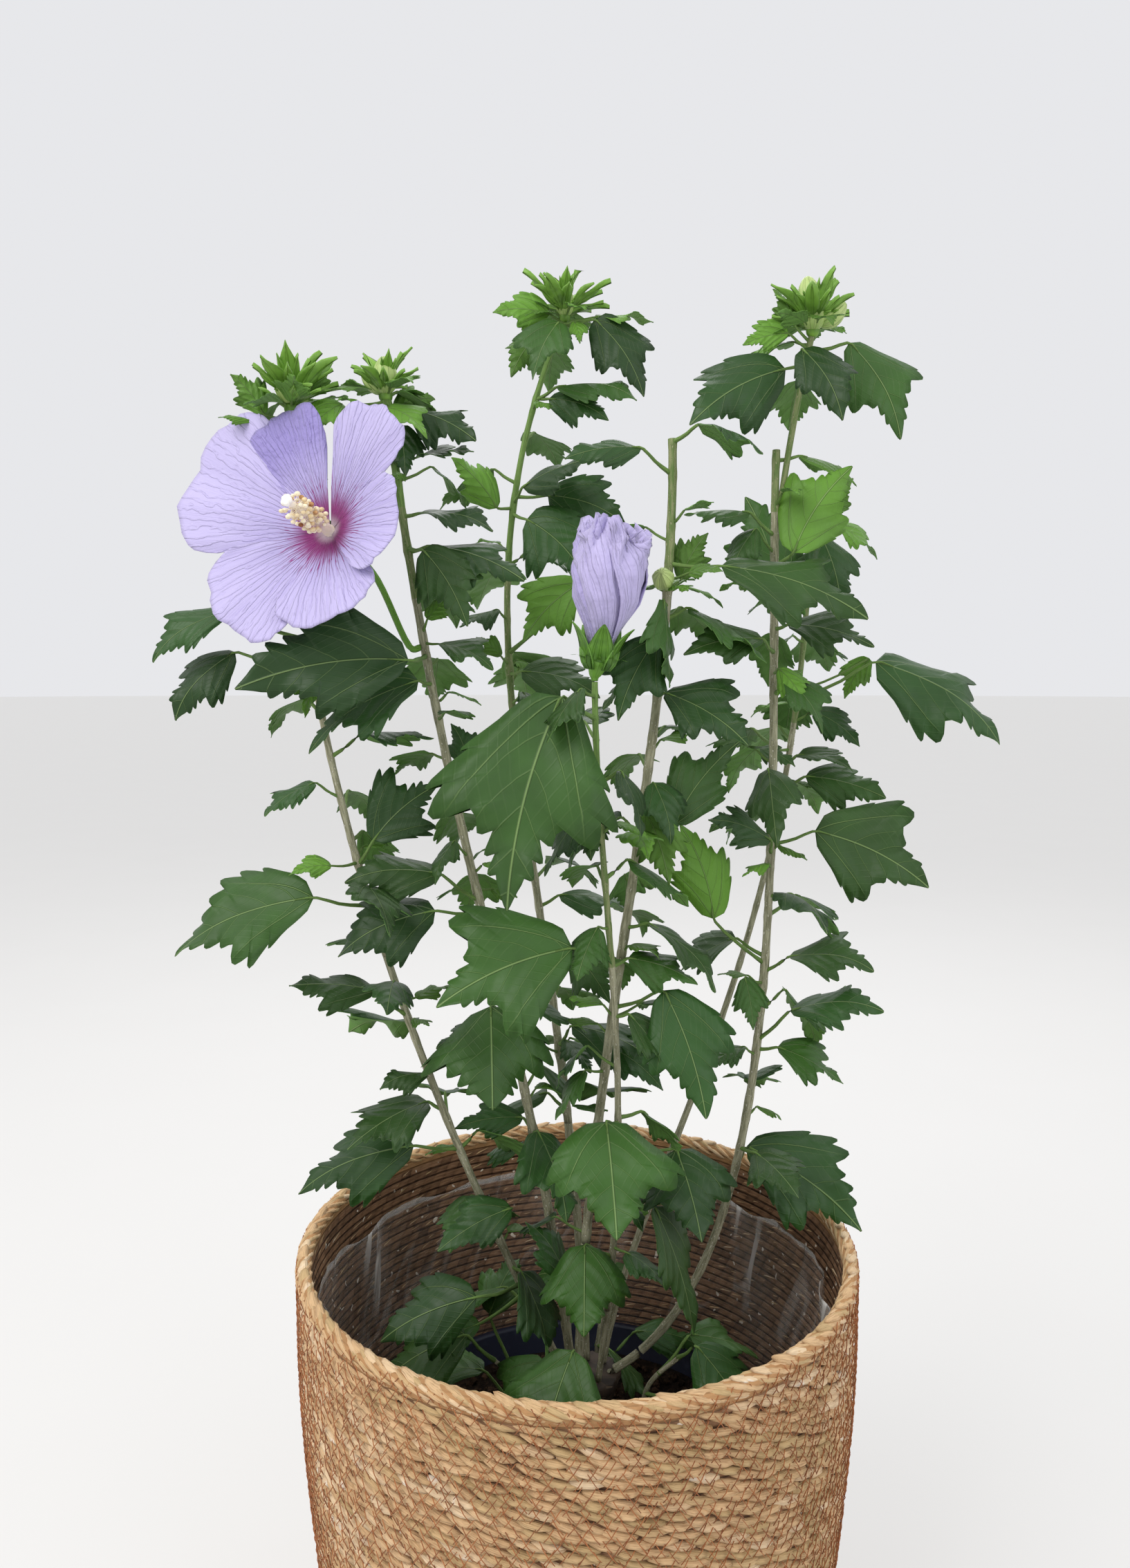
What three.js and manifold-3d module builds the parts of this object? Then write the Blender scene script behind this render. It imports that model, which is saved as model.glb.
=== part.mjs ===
// A potted hibiscus shrub: seven woody canes on one short trunk, lobed leaves, one open bloom and one
// furled bloom. It grows in a nursery pot that stands, in a clear film liner, inside a round woven basket.
// Millimetres, +Z up. The origin is the middle of the basket's flat underside, and -Y is the front.
import * as THREE from 'three';
import { mergeVertices } from 'three/addons/utils/BufferGeometryUtils.js';
import Module from 'manifold-3d';

const wasm = await Module();
wasm.setup();

// Driving dimensions of the pots
const CLEAR = 0.3; // gap between pieces that touch
const BASKET_HEIGHT = 280;
const BASKET_RADIUS = 140; // the body just under the rim
const BASKET_FOOT_RADIUS = 124;
const BASKET_WALL = 6;
const RIM_ROLL = 4.5; // radius of the rolled rim
const LINER_WALL = 0.5;
const LINER_HEIGHT = 252; // top edge of the film above the ground
const NURSERY_RIM = 165; // rim of the inner pot above the ground
const NURSERY_RADIUS = 110;
const NURSERY_FOOT_RADIUS = 88;
const NURSERY_WALL = 2;
const SOIL_LEVEL = 150;
const ROUND_SEGMENTS = 32;

// Driving dimensions of the plant
const TRUNK_TOP = 203;
const CANE_FOOT = TRUNK_TOP + CLEAR;
const CANE_SIDES = 8;
const STEM_SIDES = 6;
const STALK_RADIUS = 0.9;
const LEAF_WIDTH = 0.2; // half the blade's width over its length, before its lobes
const LOBE_WIDTH = 0.11; // how much further the side lobes reach
const LOBE_PLACE = 0.4; // where the lobes stand along the midrib
const LEAF_THICKNESS = 0.015; // over the blade's length
const LEAF_CURL = 30; // degrees that a blade bends down from base to tip
const LEAF_CUP = 25; // degrees that its margins fall away from the midrib
const LIMB_ROOM = 0.5; // room that a leaf keeps to every other piece
const SMALL_LEAF = 32; // blades shorter than this have the fewest rings
const MEDIUM_LEAF = 50;
const TIP_HUB = 3.2; // radius of the knot that a shoot tip's bracts stand on
const YOUNG_LEAVES = 3; // small leaves in the joints of each leafy length

// Canes: the two handles and the tip of each centreline, which starts on the trunk's flat top,
// its thickness at foot and tip, and where along its rise the bare cane gives way to leafy shoots
const CANES = {
  left: {
    foot: [-6, -3], bend: [[-69, -14, 341], [-134, -42, 522]], tip: [-129, -35, 684],
    radii: [2.4, 1.6], shoots: [238, 430, 683],
  },
  bloom: {
    foot: [-3, 6], bend: [[-25, -5, 404], [-59, -34, 457]], tip: [-87, -33, 690],
    radii: [2.8, 2], shoots: [310, 520, 689],
  },
  back: {
    foot: [5, 10], bend: [[-5, 53, 469], [-77, 56, 586]], tip: [-6, 55, 752],
    radii: [2.7, 1.6], shoots: [325, 520, 751],
  },
  slim: {
    foot: [11, -9], bend: [[32, -33, 378], [8, -55, 452]], tip: [7, -60, 562],
    radii: [1.9, 1.5], shoots: [245, 561],
  },
  middle: {
    foot: [1, -10], bend: [[3, -30, 384], [45, -32, 523]], tip: [43, -30, 671],
    radii: [2.7, 2.2], shoots: [282, 485, 671],
  },
  right: {
    foot: [18, -1], bend: [[122, 20, 249], [90, -18, 541]], tip: [94, -10, 670],
    radii: [2.5, 2.1], shoots: [298, 515, 670],
  },
  far_right: {
    foot: [14, 7], bend: [[30, 20, 300], [118, 42, 400]], tip: [122, 40, 638],
    radii: [2.2, 1.6], shoots: [480, 638],
  },
};

// Leaves of the canes, each a row of: rise of its joint above the ground, bearing of its stalk seen from
// above (anticlockwise from +X), stalk length and lift, then the blade's heading, droop, length and roll,
// and for a broad leaf how much broader it is
const CANE_LEAVES = {
  left: [
    [250, 210, 27, -20, 200, 5, 32, -20], [255, 245, 48, 20, 190, 5, 50, -45],
    [290, 295, 33, 35, 205, 5, 40, -40], [330, 210, 25, 15, 195, 0, 60, -40],
    [345, 100, 18, 25, 95, 10, 42, 10], [370, 275, 8, 20, 205, -10, 25, -15],
    [400, 230, 25, 40, 190, -20, 40, -20], [408, 40, 8, -5, 30, -25, 20, 15],
    [455, 230, 34, 15, 185, 5, 70, -45], [475, 315, 18, 45, 15, -55, 40, 70],
    [476, 250, 23, 5, 210, -10, 20, -40], [500, 95, 20, 25, 80, 10, 45, -10],
    [565, 190, 36, 15, 195, 30, 42, -50], [566, 285, 16, 0, 240, 60, 22, -80],
    [580, 195, 37, 20, 190, 15, 42, -45], [625, 80, 20, 20, 95, 10, 48, 10],
    [660, 140, 14, 25, 150, 0, 34, -10], [678, 195, 12, 10, 190, -65, 22, -85],
    [679, 360, 24, 15, 230, 25, 26, -30], [680, 195, 18, -10, 205, -15, 14, -45],
    [681, 40, 12, 45, 15, -70, 20, 70], [681, 70, 12, 30, 30, -30, 22, 15],
  ],
  bloom: [
    [335, 170, 8, 50, 190, -10, 35, -45], [375, 105, 22, 25, 110, 10, 46, -10],
    [400, 255, 24, 20, 275, 35, 50, 0, 1.6], [450, 225, 29, 10, 195, 5, 50, -45],
    [456, 220, 27, 35, 195, -15, 45, -45], [462, 50, 11, -10, 325, -10, 16, 15],
    [490, 95, 20, 20, 100, 15, 45, -10], [505, 45, 17, 60, 150, -80, 25, -45],
    [560, 255, 16, 5, 195, 15, 60, -45], [573, 262, 30, -5, 190, -5, 75, -70],
    [579, 320, 10, -5, 340, 5, 30, 20], [583, 300, 9, 45, 25, -55, 16, 65],
    [587, 190, 14, 5, 185, -20, 16, -45], [600, 80, 20, 20, 75, 5, 46, 10],
    [620, 330, 12, 10, 340, 5, 50, 40], [622, 305, 15, -10, 330, 40, 42, 60],
    [636, 335, 9, 5, 350, -5, 36, 20], [645, 120, 16, 25, 125, 0, 40, -10],
    [660, 20, 10, 15, 0, -20, 27, 20], [682, 30, 8, -40, 290, 55, 26, 20],
    [684, 350, 9, -5, 350, 10, 36, 45], [685, 70, 8, 5, 30, -35, 22, 65],
    [686, 280, 8, -25, 320, 15, 30, 35], [687, 225, 14, -15, 210, -20, 12, -20],
  ],
  back: [
    [350, 85, 24, 25, 80, 10, 48, 0], [360, 325, 30, 25, 335, 15, 40, 40],
    [362, 230, 20, 30, 215, -10, 25, -15], [366, 290, 26, 40, 340, 0, 45, 20],
    [400, 110, 22, 25, 115, 10, 46, -10], [410, 305, 25, 25, 310, 20, 36, 45],
    [455, 60, 22, 25, 55, 10, 50, 10], [505, 130, 22, 20, 130, 10, 48, -10],
    [560, 80, 24, 20, 85, 10, 50, 0], [565, 300, 14, 5, 340, 0, 46, 40],
    [570, 245, 10, 25, 205, -50, 17, -95], [576, 320, 60, 35, 180, 30, 42, -80],
    [615, 110, 20, 25, 110, 10, 48, -10], [650, 310, 13, -20, 325, 25, 50, 55],
    [653, 215, 10, -5, 215, -55, 36, -95], [656, 290, 16, 20, 335, -30, 40, 50],
    [659, 350, 18, 0, 340, 5, 46, 70], [690, 75, 16, 20, 70, 0, 42, 10],
    [710, 330, 8, -10, 335, 5, 36, 65], [736, 90, 14, 10, 95, 5, 38, 0],
    [744, 270, 15, 0, 235, 40, 40, -25], [745, 180, 9, -5, 195, 40, 30, -70],
    [747, 345, 18, 5, 335, 40, 50, 60], [748, 305, 12, -10, 290, 45, 15, 20],
    [749, 205, 8, 20, 190, -15, 30, -75], [749, 10, 17, 10, 355, -10, 32, 20],
  ],
  slim: [
    [258, 202, 24, 20, 150, -65, 36, 0, 1.3], [276, 205, 18, 32, 268, 32, 42, 0, 1.5],
    [350, 250, 20, 22, 275, 30, 54, 0, 1.6], [430, 35, 10, 15, 340, 0, 35, 40],
    [434, 220, 25, 20, 195, 5, 66, -62, 1.3], [470, 105, 14, 25, 115, 10, 32, -10],
    [510, 120, 15, -25, 285, 45, 26, 15], [545, 225, 23, 25, 225, 55, 95, -45],
  ],
  middle: [
    [300, 320, 42, 20, 315, 50, 60, -15], [330, 355, 40, 5, 285, 25, 46, 10, 1.4],
    [345, 80, 22, 25, 80, 10, 46, 0], [405, 320, 32, 25, 315, 50, 60, 40],
    [440, 80, 20, 25, 75, 10, 46, 10], [495, 330, 17, 0, 15, -65, 50, 70],
    [501, 270, 15, 5, 325, 55, 36, 80], [520, 100, 18, 20, 105, 10, 44, -10],
    [555, 285, 10, 5, 335, 15, 46, 40], [580, 255, 15, 0, 210, 45, 42, -55],
    [590, 60, 18, 20, 60, 5, 40, 0], [596, 260, 15, 5, 285, 65, 40, -50],
    [604, 20, 8, 30, 0, -75, 25, 85], [608, 300, 16, 5, 325, -15, 17, 40],
    [615, 335, 25, -5, 350, 5, 70, 45], [655, 200, 19, 35, 190, -5, 36, -45],
  ],
  right: [
    [312, 10, 11, 60, 340, 15, 70, 40], [345, 75, 20, 20, 80, 10, 44, 0],
    [375, 325, 12, 15, 340, 10, 36, 20], [380, 315, 27, 45, 340, -25, 46, 20],
    [410, 230, 19, 20, 285, 50, 26, 15], [416, 320, 17, 35, 340, -15, 42, 20],
    [420, 205, 40, 40, 180, -85, 50, -85], [445, 40, 22, 20, 40, 10, 42, 0],
    [470, 255, 11, 15, 210, 0, 17, -15], [476, 260, 13, 40, 200, -35, 36, -50],
    [481, 335, 23, 20, 345, 10, 60, 70], [530, 110, 22, 20, 110, 10, 46, 0],
    [565, 270, 12, 10, 320, 35, 22, 50], [575, 245, 22, 15, 195, -5, 40, -45],
    [586, 300, 10, 10, 335, 0, 42, 40], [600, 75, 20, 20, 80, 5, 42, 0],
    [616, 300, 14, 20, 10, -70, 50, 75], [630, 215, 19, 30, 190, -10, 32, -20],
  ],
  right_top: [
    [700, 85, 14, 20, 85, 5, 42, 0], [709, 210, 13, -20, 200, 15, 56, -70],
    [711, 250, 15, 0, 310, 40, 42, 40], [714, 355, 19, 10, 335, 45, 52, 60],
    [715, 185, 12, 35, 180, 0, 22, -75], [717, 120, 12, 20, 140, -10, 30, -20],
    [718, 185, 10, 45, 155, -75, 22, -60],
  ],
  far_right: [
    [500, 60, 20, 20, 55, 10, 44, 0], [505, 310, 16, 25, 345, 0, 42, 45],
    [525, 215, 30, 5, 345, 5, 26, 20], [530, 100, 20, 20, 100, 10, 46, 0],
    [540, 340, 11, 30, 340, 20, 31, 45], [552, 330, 45, 25, 345, 15, 76, 45],
    [556, 355, 40, 25, 130, 40, 26, -125], [580, 70, 22, 15, 60, 10, 44, 0],
    [605, 200, 16, -5, 130, -80, 60, -40], [620, 285, 20, 65, 300, 50, 45, 25],
    [630, 20, 18, 60, 10, -70, 26, 80],
  ],
};

// Low shoots from the trunk: name, bearing, lift and length of the stem, and the rows of its leaves,
// whose first number is the share of the stem's length that lies below the joint
const LOW_SHOOTS = [
  ['low_leaves_left', 205, 50, 60, [
    [0.45, 170, 34, 45, 160, 0, 42, -10], [0.7, 150, 36, 60, 60, -50, 34, 0, 1.3],
    [1, 215, 24, 50, 190, 10, 46, -35, 1.2],
  ]],
  ['low_leaves_front', 262, 60, 62, [
    [0.5, 330, 26, 45, 290, 45, 30, 0, 1.3], [0.7, 190, 24, 50, 200, 30, 36, -20, 1.3],
    [1, 270, 18, 62, 236, 40, 45, -5, 1.5],
  ]],
  ['low_leaves_right', 335, 50, 62, [
    [0.5, 350, 30, 30, 345, 0, 38, 10, 1.2], [0.8, 10, 24, 50, 5, 5, 40, 20],
    [1, 320, 14, 45, 325, 30, 42, 25, 1.3],
  ]],
  ['low_leaves_back', 75, 50, 48, [
    [0.5, 20, 28, 35, 15, 5, 42, 20], [0.9, 130, 24, 30, 130, 5, 44, -10],
    [1, 75, 22, 30, 75, 10, 46, 0],
  ]],
];

// Leafy tips: the cane that each tops, the number of narrow bracts, their length, and the buds on it
// as rows of bearing, lean from upright, stalk length and bud radius
const TIPS = {
  left: { bracts: 11, reach: 27, buds: [[250, 30, 9, 4.5], [60, 45, 9, 4]] },
  bloom: { bracts: 8, reach: 22, buds: [[270, 12, 8, 5.5], [190, 40, 8, 4.5]] },
  back: { bracts: 9, reach: 29, buds: [[280, 12, 7, 5], [170, 20, 14, 3.6]] },
  right_top: { bracts: 10, reach: 25, buds: [[268, 14, 8, 6], [120, 10, 17, 5.5], [0, 50, 11, 5.2]] },
};

// The round bud in a joint of the middle cane
const ROUND_BUD = { rise: 602, bearing: 256, lift: 22, reach: 13, radius: 5 };

// The open bloom: middle of its throat, the way it faces, and for each petal its bearing, how many
// degrees it spreads to either side, its length, and how far its margin stands in front of the others
const BLOOM_THROAT = new THREE.Vector3(-108, -58, 626);
const BLOOM_FACING = new THREE.Vector3(-0.37, -0.885, 0.28).normalize();
const BLOOM_REACH = 52; // how far a petal reaches from the bloom's axis
const BLOOM_DEPTH = 13; // how far a petal's margin stands in front of the throat
const PETAL_THICKNESS = 1.2;
const PETAL_RINGS = [0.2, 0.55, 0.82, 0.96]; // where its rings stand along a petal
const BLOOM_JOINT = 577; // rise of its joint on the bloom cane
const PETALS = [
  [157, 36, 1.24, 0], [120, 26, 1.02, 0], [62, 27, 0.97, 0], [-4, 42, 0.73, 2], [-73, 40, 0.83, 0],
  [-132, 36, 0.97, 0],
];
const COLUMN_LENGTH = 34;
const CALYX_LENGTH = 16;

// The furled bloom: its axis and the radii along it, from its calyx to its crumpled top
const FURLED_FOOT = new THREE.Vector3(8, -61, 565);
const FURLED_TOP = new THREE.Vector3(16, -61, 629);
const FURLED_RADII = [
  [0, 0], [0.01, 3], [0.1, 7], [0.26, 10], [0.42, 14], [0.62, 17.5], [0.8, 17], [0.92, 12.5], [1, 7], [1, 0],
];

const UP = new THREE.Vector3(0, 0, 1);
const ACROSS = new THREE.Vector3(1, 0, 0);
const GOLDEN_ANGLE = 137.5;

const radians = THREE.MathUtils.degToRad;

// The same whole numbers on every run
function seeded(seed) {
  let state = seed;
  return () => {
    state = (state * 16807) % 2147483647;
    return state / 2147483647;
  };
}

// A unit vector from its bearing and its lift above the level
function direction(bearing, lift) {
  const b = radians(bearing);
  const l = radians(lift);
  return new THREE.Vector3(Math.cos(b) * Math.cos(l), Math.sin(b) * Math.cos(l), Math.sin(l));
}

function movePoints(geometry, place) {
  const position = geometry.getAttribute('position');
  const point = new THREE.Vector3();
  for (let i = 0; i < position.count; i += 1) {
    point.fromBufferAttribute(position, i);
    const moved = place(point, i);
    position.setXYZ(i, moved.x, moved.y, moved.z);
  }
  return geometry;
}

// A closed geometry as a solid: only its positions are kept, and shared corners are merged
function toSolid(geometry) {
  const bare = geometry.clone();
  bare.deleteAttribute('normal');
  bare.deleteAttribute('uv');
  const merged = mergeVertices(bare, 1e-4);
  return new wasm.Manifold(new wasm.Mesh({
    numProp: 3,
    vertProperties: new Float32Array(merged.getAttribute('position').array),
    triVerts: new Uint32Array(merged.index.array),
  }));
}

function toGeometry(solid) {
  const mesh = solid.getMesh();
  const geometry = new THREE.BufferGeometry();
  geometry.setAttribute('position', new THREE.BufferAttribute(new Float32Array(mesh.vertProperties), 3));
  geometry.setIndex(new THREE.BufferAttribute(new Uint32Array(mesh.triVerts), 1));
  geometry.computeVertexNormals();
  return geometry;
}

// One body out of many: a hollow that fusing seals is filled, and a loose scrap is dropped
function fuse(solids) {
  const whole = solids.reduce((sum, solid) => sum.add(solid));
  return [...whole.decompose()].reduce((largest, body) => (
    body.volume() > largest.volume() ? body : largest
  ));
}

// Two directions across a curve; with the curve's own direction they make a right-handed frame
function sectionAxes(tangent, reference) {
  const side = reference.clone().addScaledVector(tangent, -reference.dot(tangent)).normalize();
  return [side, side.clone().cross(tangent)];
}

// A tapering limb along a curve from one share of it to another, with a level foot where it is asked for
function limb(curve, from, to, radiusAt, sides, steps, levelFoot = false) {
  const tube = new THREE.CylinderGeometry(1, 1, 1, sides, steps);
  return toSolid(movePoints(tube, (point) => {
    const along = point.y + 0.5;
    const share = from + (to - from) * along;
    const tangent = levelFoot && along < 1e-6 ? UP : curve.getTangent(share);
    const reference = Math.abs(tangent.z) > 0.6 ? ACROSS : UP;
    const [side, other] = sectionAxes(tangent, reference);
    const radius = radiusAt(share);
    return curve.getPoint(share)
      .addScaledVector(side, point.x * radius)
      .addScaledVector(other, point.z * radius);
  }));
}

// Share of a rising curve at which it reaches a height
function shareAtRise(curve, rise) {
  let low = 0;
  let high = 1;
  for (let i = 0; i < 30; i += 1) {
    const middle = (low + high) / 2;
    if (curve.getPoint(middle).z < rise) low = middle;
    else high = middle;
  }
  return low;
}

// Half-width of a leaf over its length: an oval with two side lobes
function leafHalfWidth(along, width, lobe) {
  const oval = width * Math.sin(Math.PI * along ** 0.75) ** 0.85;
  return oval + lobe * Math.exp(-(((along - LOBE_PLACE) / 0.1) ** 2)) * Math.min(1, along * 8);
}

// A place on a leaf blade: along its midrib from 0 to 1, across it in blade lengths
function bladePoint(leaf, along, across) {
  const forward = direction(leaf.heading, 0);
  const curl = radians(LEAF_CURL);
  const droop = radians(leaf.droop);
  const swept = along + leaf.sweep * Math.abs(across) * Math.sin(Math.PI * along);
  const pitch = droop + curl * swept;
  const midrib = forward.clone().multiplyScalar((Math.sin(pitch) - Math.sin(droop)) / curl)
    .addScaledVector(UP, (Math.cos(pitch) - Math.cos(droop)) / curl);
  const tangent = forward.clone().multiplyScalar(Math.cos(pitch)).addScaledVector(UP, -Math.sin(pitch));
  const level = forward.clone().multiplyScalar(Math.sin(pitch)).addScaledVector(UP, Math.cos(pitch));
  const normal = level.clone().applyAxisAngle(tangent, radians(leaf.roll));
  const side = tangent.clone().cross(normal);
  const bend = radians(LEAF_CUP) / 0.35;
  const point = midrib
    .addScaledVector(side, Math.sin(bend * across) / bend)
    .addScaledVector(normal, (Math.cos(bend * across) - 1) / bend)
    .multiplyScalar(leaf.length)
    .add(leaf.base);
  return { point, normal };
}

// A closed spindle through rings of four corners: top, one margin, underside, other margin. The first
// and the last ring are single points. Top and underside are split alike, from each margin inwards, so
// that a thin blade which bends and twists never passes through itself
function spindle(rings) {
  const points = rings.flatMap((ring) => (ring.length === 1 ? Array(4).fill(ring[0]) : ring));
  const faces = [];
  for (let low = 0; low + 4 < points.length; low += 4) {
    for (const margin of [low + 1, low + 3]) {
      const before = margin - 1;
      const after = low + ((margin + 1 - low) % 4);
      faces.push(
        [margin, after, after + 4], [margin, after + 4, margin + 4],
        [margin, before + 4, before], [margin, margin + 4, before + 4],
      );
    }
  }
  const whole = faces.filter((face) => new Set(face.map((i) => points[i])).size === 3);
  return toSolid(new THREE.BufferGeometry().setFromPoints(points).setIndex(whole.flat()));
}

// Four corners round a centre, for a limb that runs the given way
function squareRing(centre, way, normal, radius) {
  const side = way.clone().cross(normal).normalize();
  const top = side.clone().cross(way);
  return [[top, 1], [side, 1], [top, -1], [side, -1]].map(([axis, sign]) => (
    centre.clone().addScaledVector(axis, sign * radius)
  ));
}

// Corners of a leaf blade at a share of its length
function bladeRing(leaf, along, spare) {
  const half = leafHalfWidth(along, leaf.width, leaf.lobe) + spare / leaf.length;
  const thickness = Math.max(leaf.length * LEAF_THICKNESS, 0.6) / 2 + spare;
  const middle = bladePoint(leaf, along, 0);
  return [
    middle.point.clone().addScaledVector(middle.normal, thickness),
    bladePoint(leaf, along, half).point,
    middle.point.clone().addScaledVector(middle.normal, -thickness),
    bladePoint(leaf, along, -half).point,
  ];
}

// Where the rings of a blade stand along its midrib
function bladeRings(length) {
  if (length < SMALL_LEAF) return [0.35];
  return length < MEDIUM_LEAF ? [0.2, 0.42, 0.74] : [0.16, 0.4, 0.56, 0.8];
}

// A leaf on its stalk, in one spindle that starts inside the stem
function leafSolid(joint, leaf, spare = 0) {
  const small = leaf.length < SMALL_LEAF;
  const radius = STALK_RADIUS * (small ? 0.8 : 1) + spare;
  const way = leaf.base.clone().sub(joint).normalize();
  const start = bladePoint(leaf, 0, 0);
  const ahead = bladePoint(leaf, 0.1, 0).point.sub(start.point).normalize();
  const across = Math.abs(way.dot(start.normal)) > 0.9 ? ahead : start.normal;
  const turnWay = way.clone().add(ahead).normalize();
  return spindle([
    [joint.clone().addScaledVector(way, -1)],
    squareRing(joint.clone().addScaledVector(way, 0.5), way, across, radius),
    squareRing(leaf.base, turnWay, start.normal, radius),
    ...bladeRings(leaf.length).map((along) => bladeRing(leaf, along, spare)),
    [bladePoint(leaf, 1, 0).point],
  ]);
}

// A leaf from its row and the place of its joint
function leafFromRow(joint, row, random) {
  const [, bearing, reach, lift, heading, droop, length, roll, broad = 1] = row;
  const base = joint.clone().addScaledVector(direction(bearing, lift), reach);
  const width = broad * LEAF_WIDTH * (0.9 + 0.3 * random());
  const lobe = broad * LOBE_WIDTH * (0.6 + 0.8 * random());
  const sweep = 0.25 + 0.3 * random();
  return { base, heading, droop, length, roll, width, lobe, sweep };
}

// Pieces and bare stems that are already in place, by name, which a leaf must not touch
const placed = new Map();

function touchesAnother(solid) {
  return [...placed.values()].some((other) => solid.intersect(other).volume() > 1e-4);
}

// A leaf with its stalk, or nothing where it would touch another piece
function leafSolids(joint, leaf) {
  return touchesAnother(leafSolid(joint, leaf, LIMB_ROOM)) ? [] : [leafSolid(joint, leaf)];
}

// Small young leaves in the joints of a shoot, set by turning the golden angle from one to the next
function youngLeaves(curve, from, to, random) {
  const solids = [];
  for (let i = 0; i < YOUNG_LEAVES; i += 1) {
    const share = from + (to - from) * (i + 0.3 + 0.4 * random()) / YOUNG_LEAVES;
    const bearing = i * GOLDEN_ANGLE + 60 * random();
    const length = 13 + 9 * random();
    const row = [0, bearing, 5 + 5 * random(), 40, bearing, -25 + 40 * random(), length, 0];
    solids.push(...leafSolids(curve.getPoint(share), leafFromRow(curve.getPoint(share), row, random)));
  }
  return solids;
}

// A bud on a straight stalk
function budSolids(joint, way, reach, radius, stretch) {
  const turn = new THREE.Quaternion().setFromUnitVectors(new THREE.Vector3(0, 1, 0), way);
  const middle = joint.clone().addScaledVector(way, reach);
  const bud = toSolid(movePoints(new THREE.SphereGeometry(radius, 5, 4), (point) => (
    point.clone().setY(point.y * stretch).applyQuaternion(turn).add(middle)
  )));
  return [bud, limb(new THREE.LineCurve3(joint, middle), 0, 1, () => STALK_RADIUS, 3, 1)];
}

// A shoot tip: narrow bracts set round it, and pointed buds on short stalks
function tipSolids(centre, tip, random) {
  const hub = new THREE.SphereGeometry(TIP_HUB, 6, 4);
  const solids = [toSolid(movePoints(hub, (point) => point.clone().add(centre)))];
  for (let i = 0; i < tip.bracts; i += 1) {
    const lift = 82 - 62 * (i / tip.bracts) - 10 * random();
    const bearing = i * GOLDEN_ANGLE + 15 * random();
    const length = tip.reach * (0.65 + 0.35 * random());
    const base = centre.clone().addScaledVector(direction(bearing, lift), 1);
    const bract = { base, heading: bearing, droop: -lift, length, roll: 0, width: 0.09, lobe: 0, sweep: 0 };
    solids.push(spindle([[base], bladeRing(bract, 0.4, 0), [bladePoint(bract, 1, 0).point]]));
  }
  for (const [bearing, lean, reach, radius] of tip.buds) {
    solids.push(...budSolids(centre, direction(bearing, 90 - lean), reach, radius, 1.4));
  }
  return solids;
}

const shrub = new THREE.Group();

function addPiece(name, solid, material) {
  const mesh = new THREE.Mesh(toGeometry(solid), material);
  mesh.name = name;
  shrub.add(mesh);
  placed.set(name, solid);
}

function finish(color, roughness) {
  return new THREE.MeshStandardMaterial({ color, roughness, metalness: 0 });
}

const STRAW = finish(0xd2ab7c, 0.85);
const FILM = finish(0xdfe3e2, 0.15);
const POT_PLASTIC = finish(0x151b2c, 0.5);
const SOIL = finish(0x2b211a, 0.95);
const BARK = finish(0x8d8670, 0.8);
const TRUNK_BARK = finish(0x4a3b31, 0.9);
const LEAF = finish(0x2f6a35, 0.55);
const PETAL = finish(0xc3b6ea, 0.6);
const FURLED_PETAL = finish(0xb0a6e0, 0.6);

// A turned piece: the profile runs from the axis at the bottom to the axis at the top
function turned(profile, segments = ROUND_SEGMENTS) {
  const points = profile.map(([radius, height]) => new THREE.Vector2(radius, height));
  return toSolid(new THREE.LatheGeometry(points, segments).rotateX(Math.PI / 2));
}

// Radius of the basket's outside at a height: slack near the foot and full under the rim
function basketRadius(height) {
  const share = THREE.MathUtils.smoothstep(height, 0, BASKET_HEIGHT * 0.86);
  return BASKET_FOOT_RADIUS + (BASKET_RADIUS - BASKET_FOOT_RADIUS) * share;
}

function basket() {
  const levels = [4, 90, 150, 205, 262];
  const rollHeight = BASKET_HEIGHT - RIM_ROLL;
  const rollRadius = BASKET_RADIUS - BASKET_WALL / 2;
  const outside = levels.map((height) => [basketRadius(height), height]);
  const inside = levels.slice(1).reverse().map((height) => [basketRadius(height) - BASKET_WALL, height]);
  const roll = [];
  for (let angle = -30; angle <= 210; angle += 60) {
    const turn = radians(angle);
    roll.push([rollRadius + RIM_ROLL * Math.cos(turn), rollHeight + RIM_ROLL * Math.sin(turn)]);
  }
  const floorRadius = BASKET_FOOT_RADIUS - BASKET_WALL;
  return turned([
    [0, 0], [BASKET_FOOT_RADIUS - 3, 0], ...outside, ...roll, ...inside, [floorRadius, BASKET_WALL],
    [0, BASKET_WALL],
  ]);
}

// The film stands against the basket's wall and lies on its floor
function liner() {
  const floor = BASKET_WALL + CLEAR;
  const outsideAt = (height) => basketRadius(height) - BASKET_WALL - CLEAR * 2;
  const levels = [90, 150, 205, LINER_HEIGHT];
  const footRadius = BASKET_FOOT_RADIUS - BASKET_WALL - CLEAR * 2;
  const outside = levels.map((height) => [outsideAt(height), height]);
  const inside = [...levels].reverse().map((height) => [outsideAt(height) - LINER_WALL, height]);
  return turned([
    [0, floor], [footRadius, floor], ...outside, ...inside, [footRadius - LINER_WALL, floor + LINER_WALL],
    [0, floor + LINER_WALL],
  ]);
}

const POT_FLOOR = BASKET_WALL + CLEAR * 2 + LINER_WALL;

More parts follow.
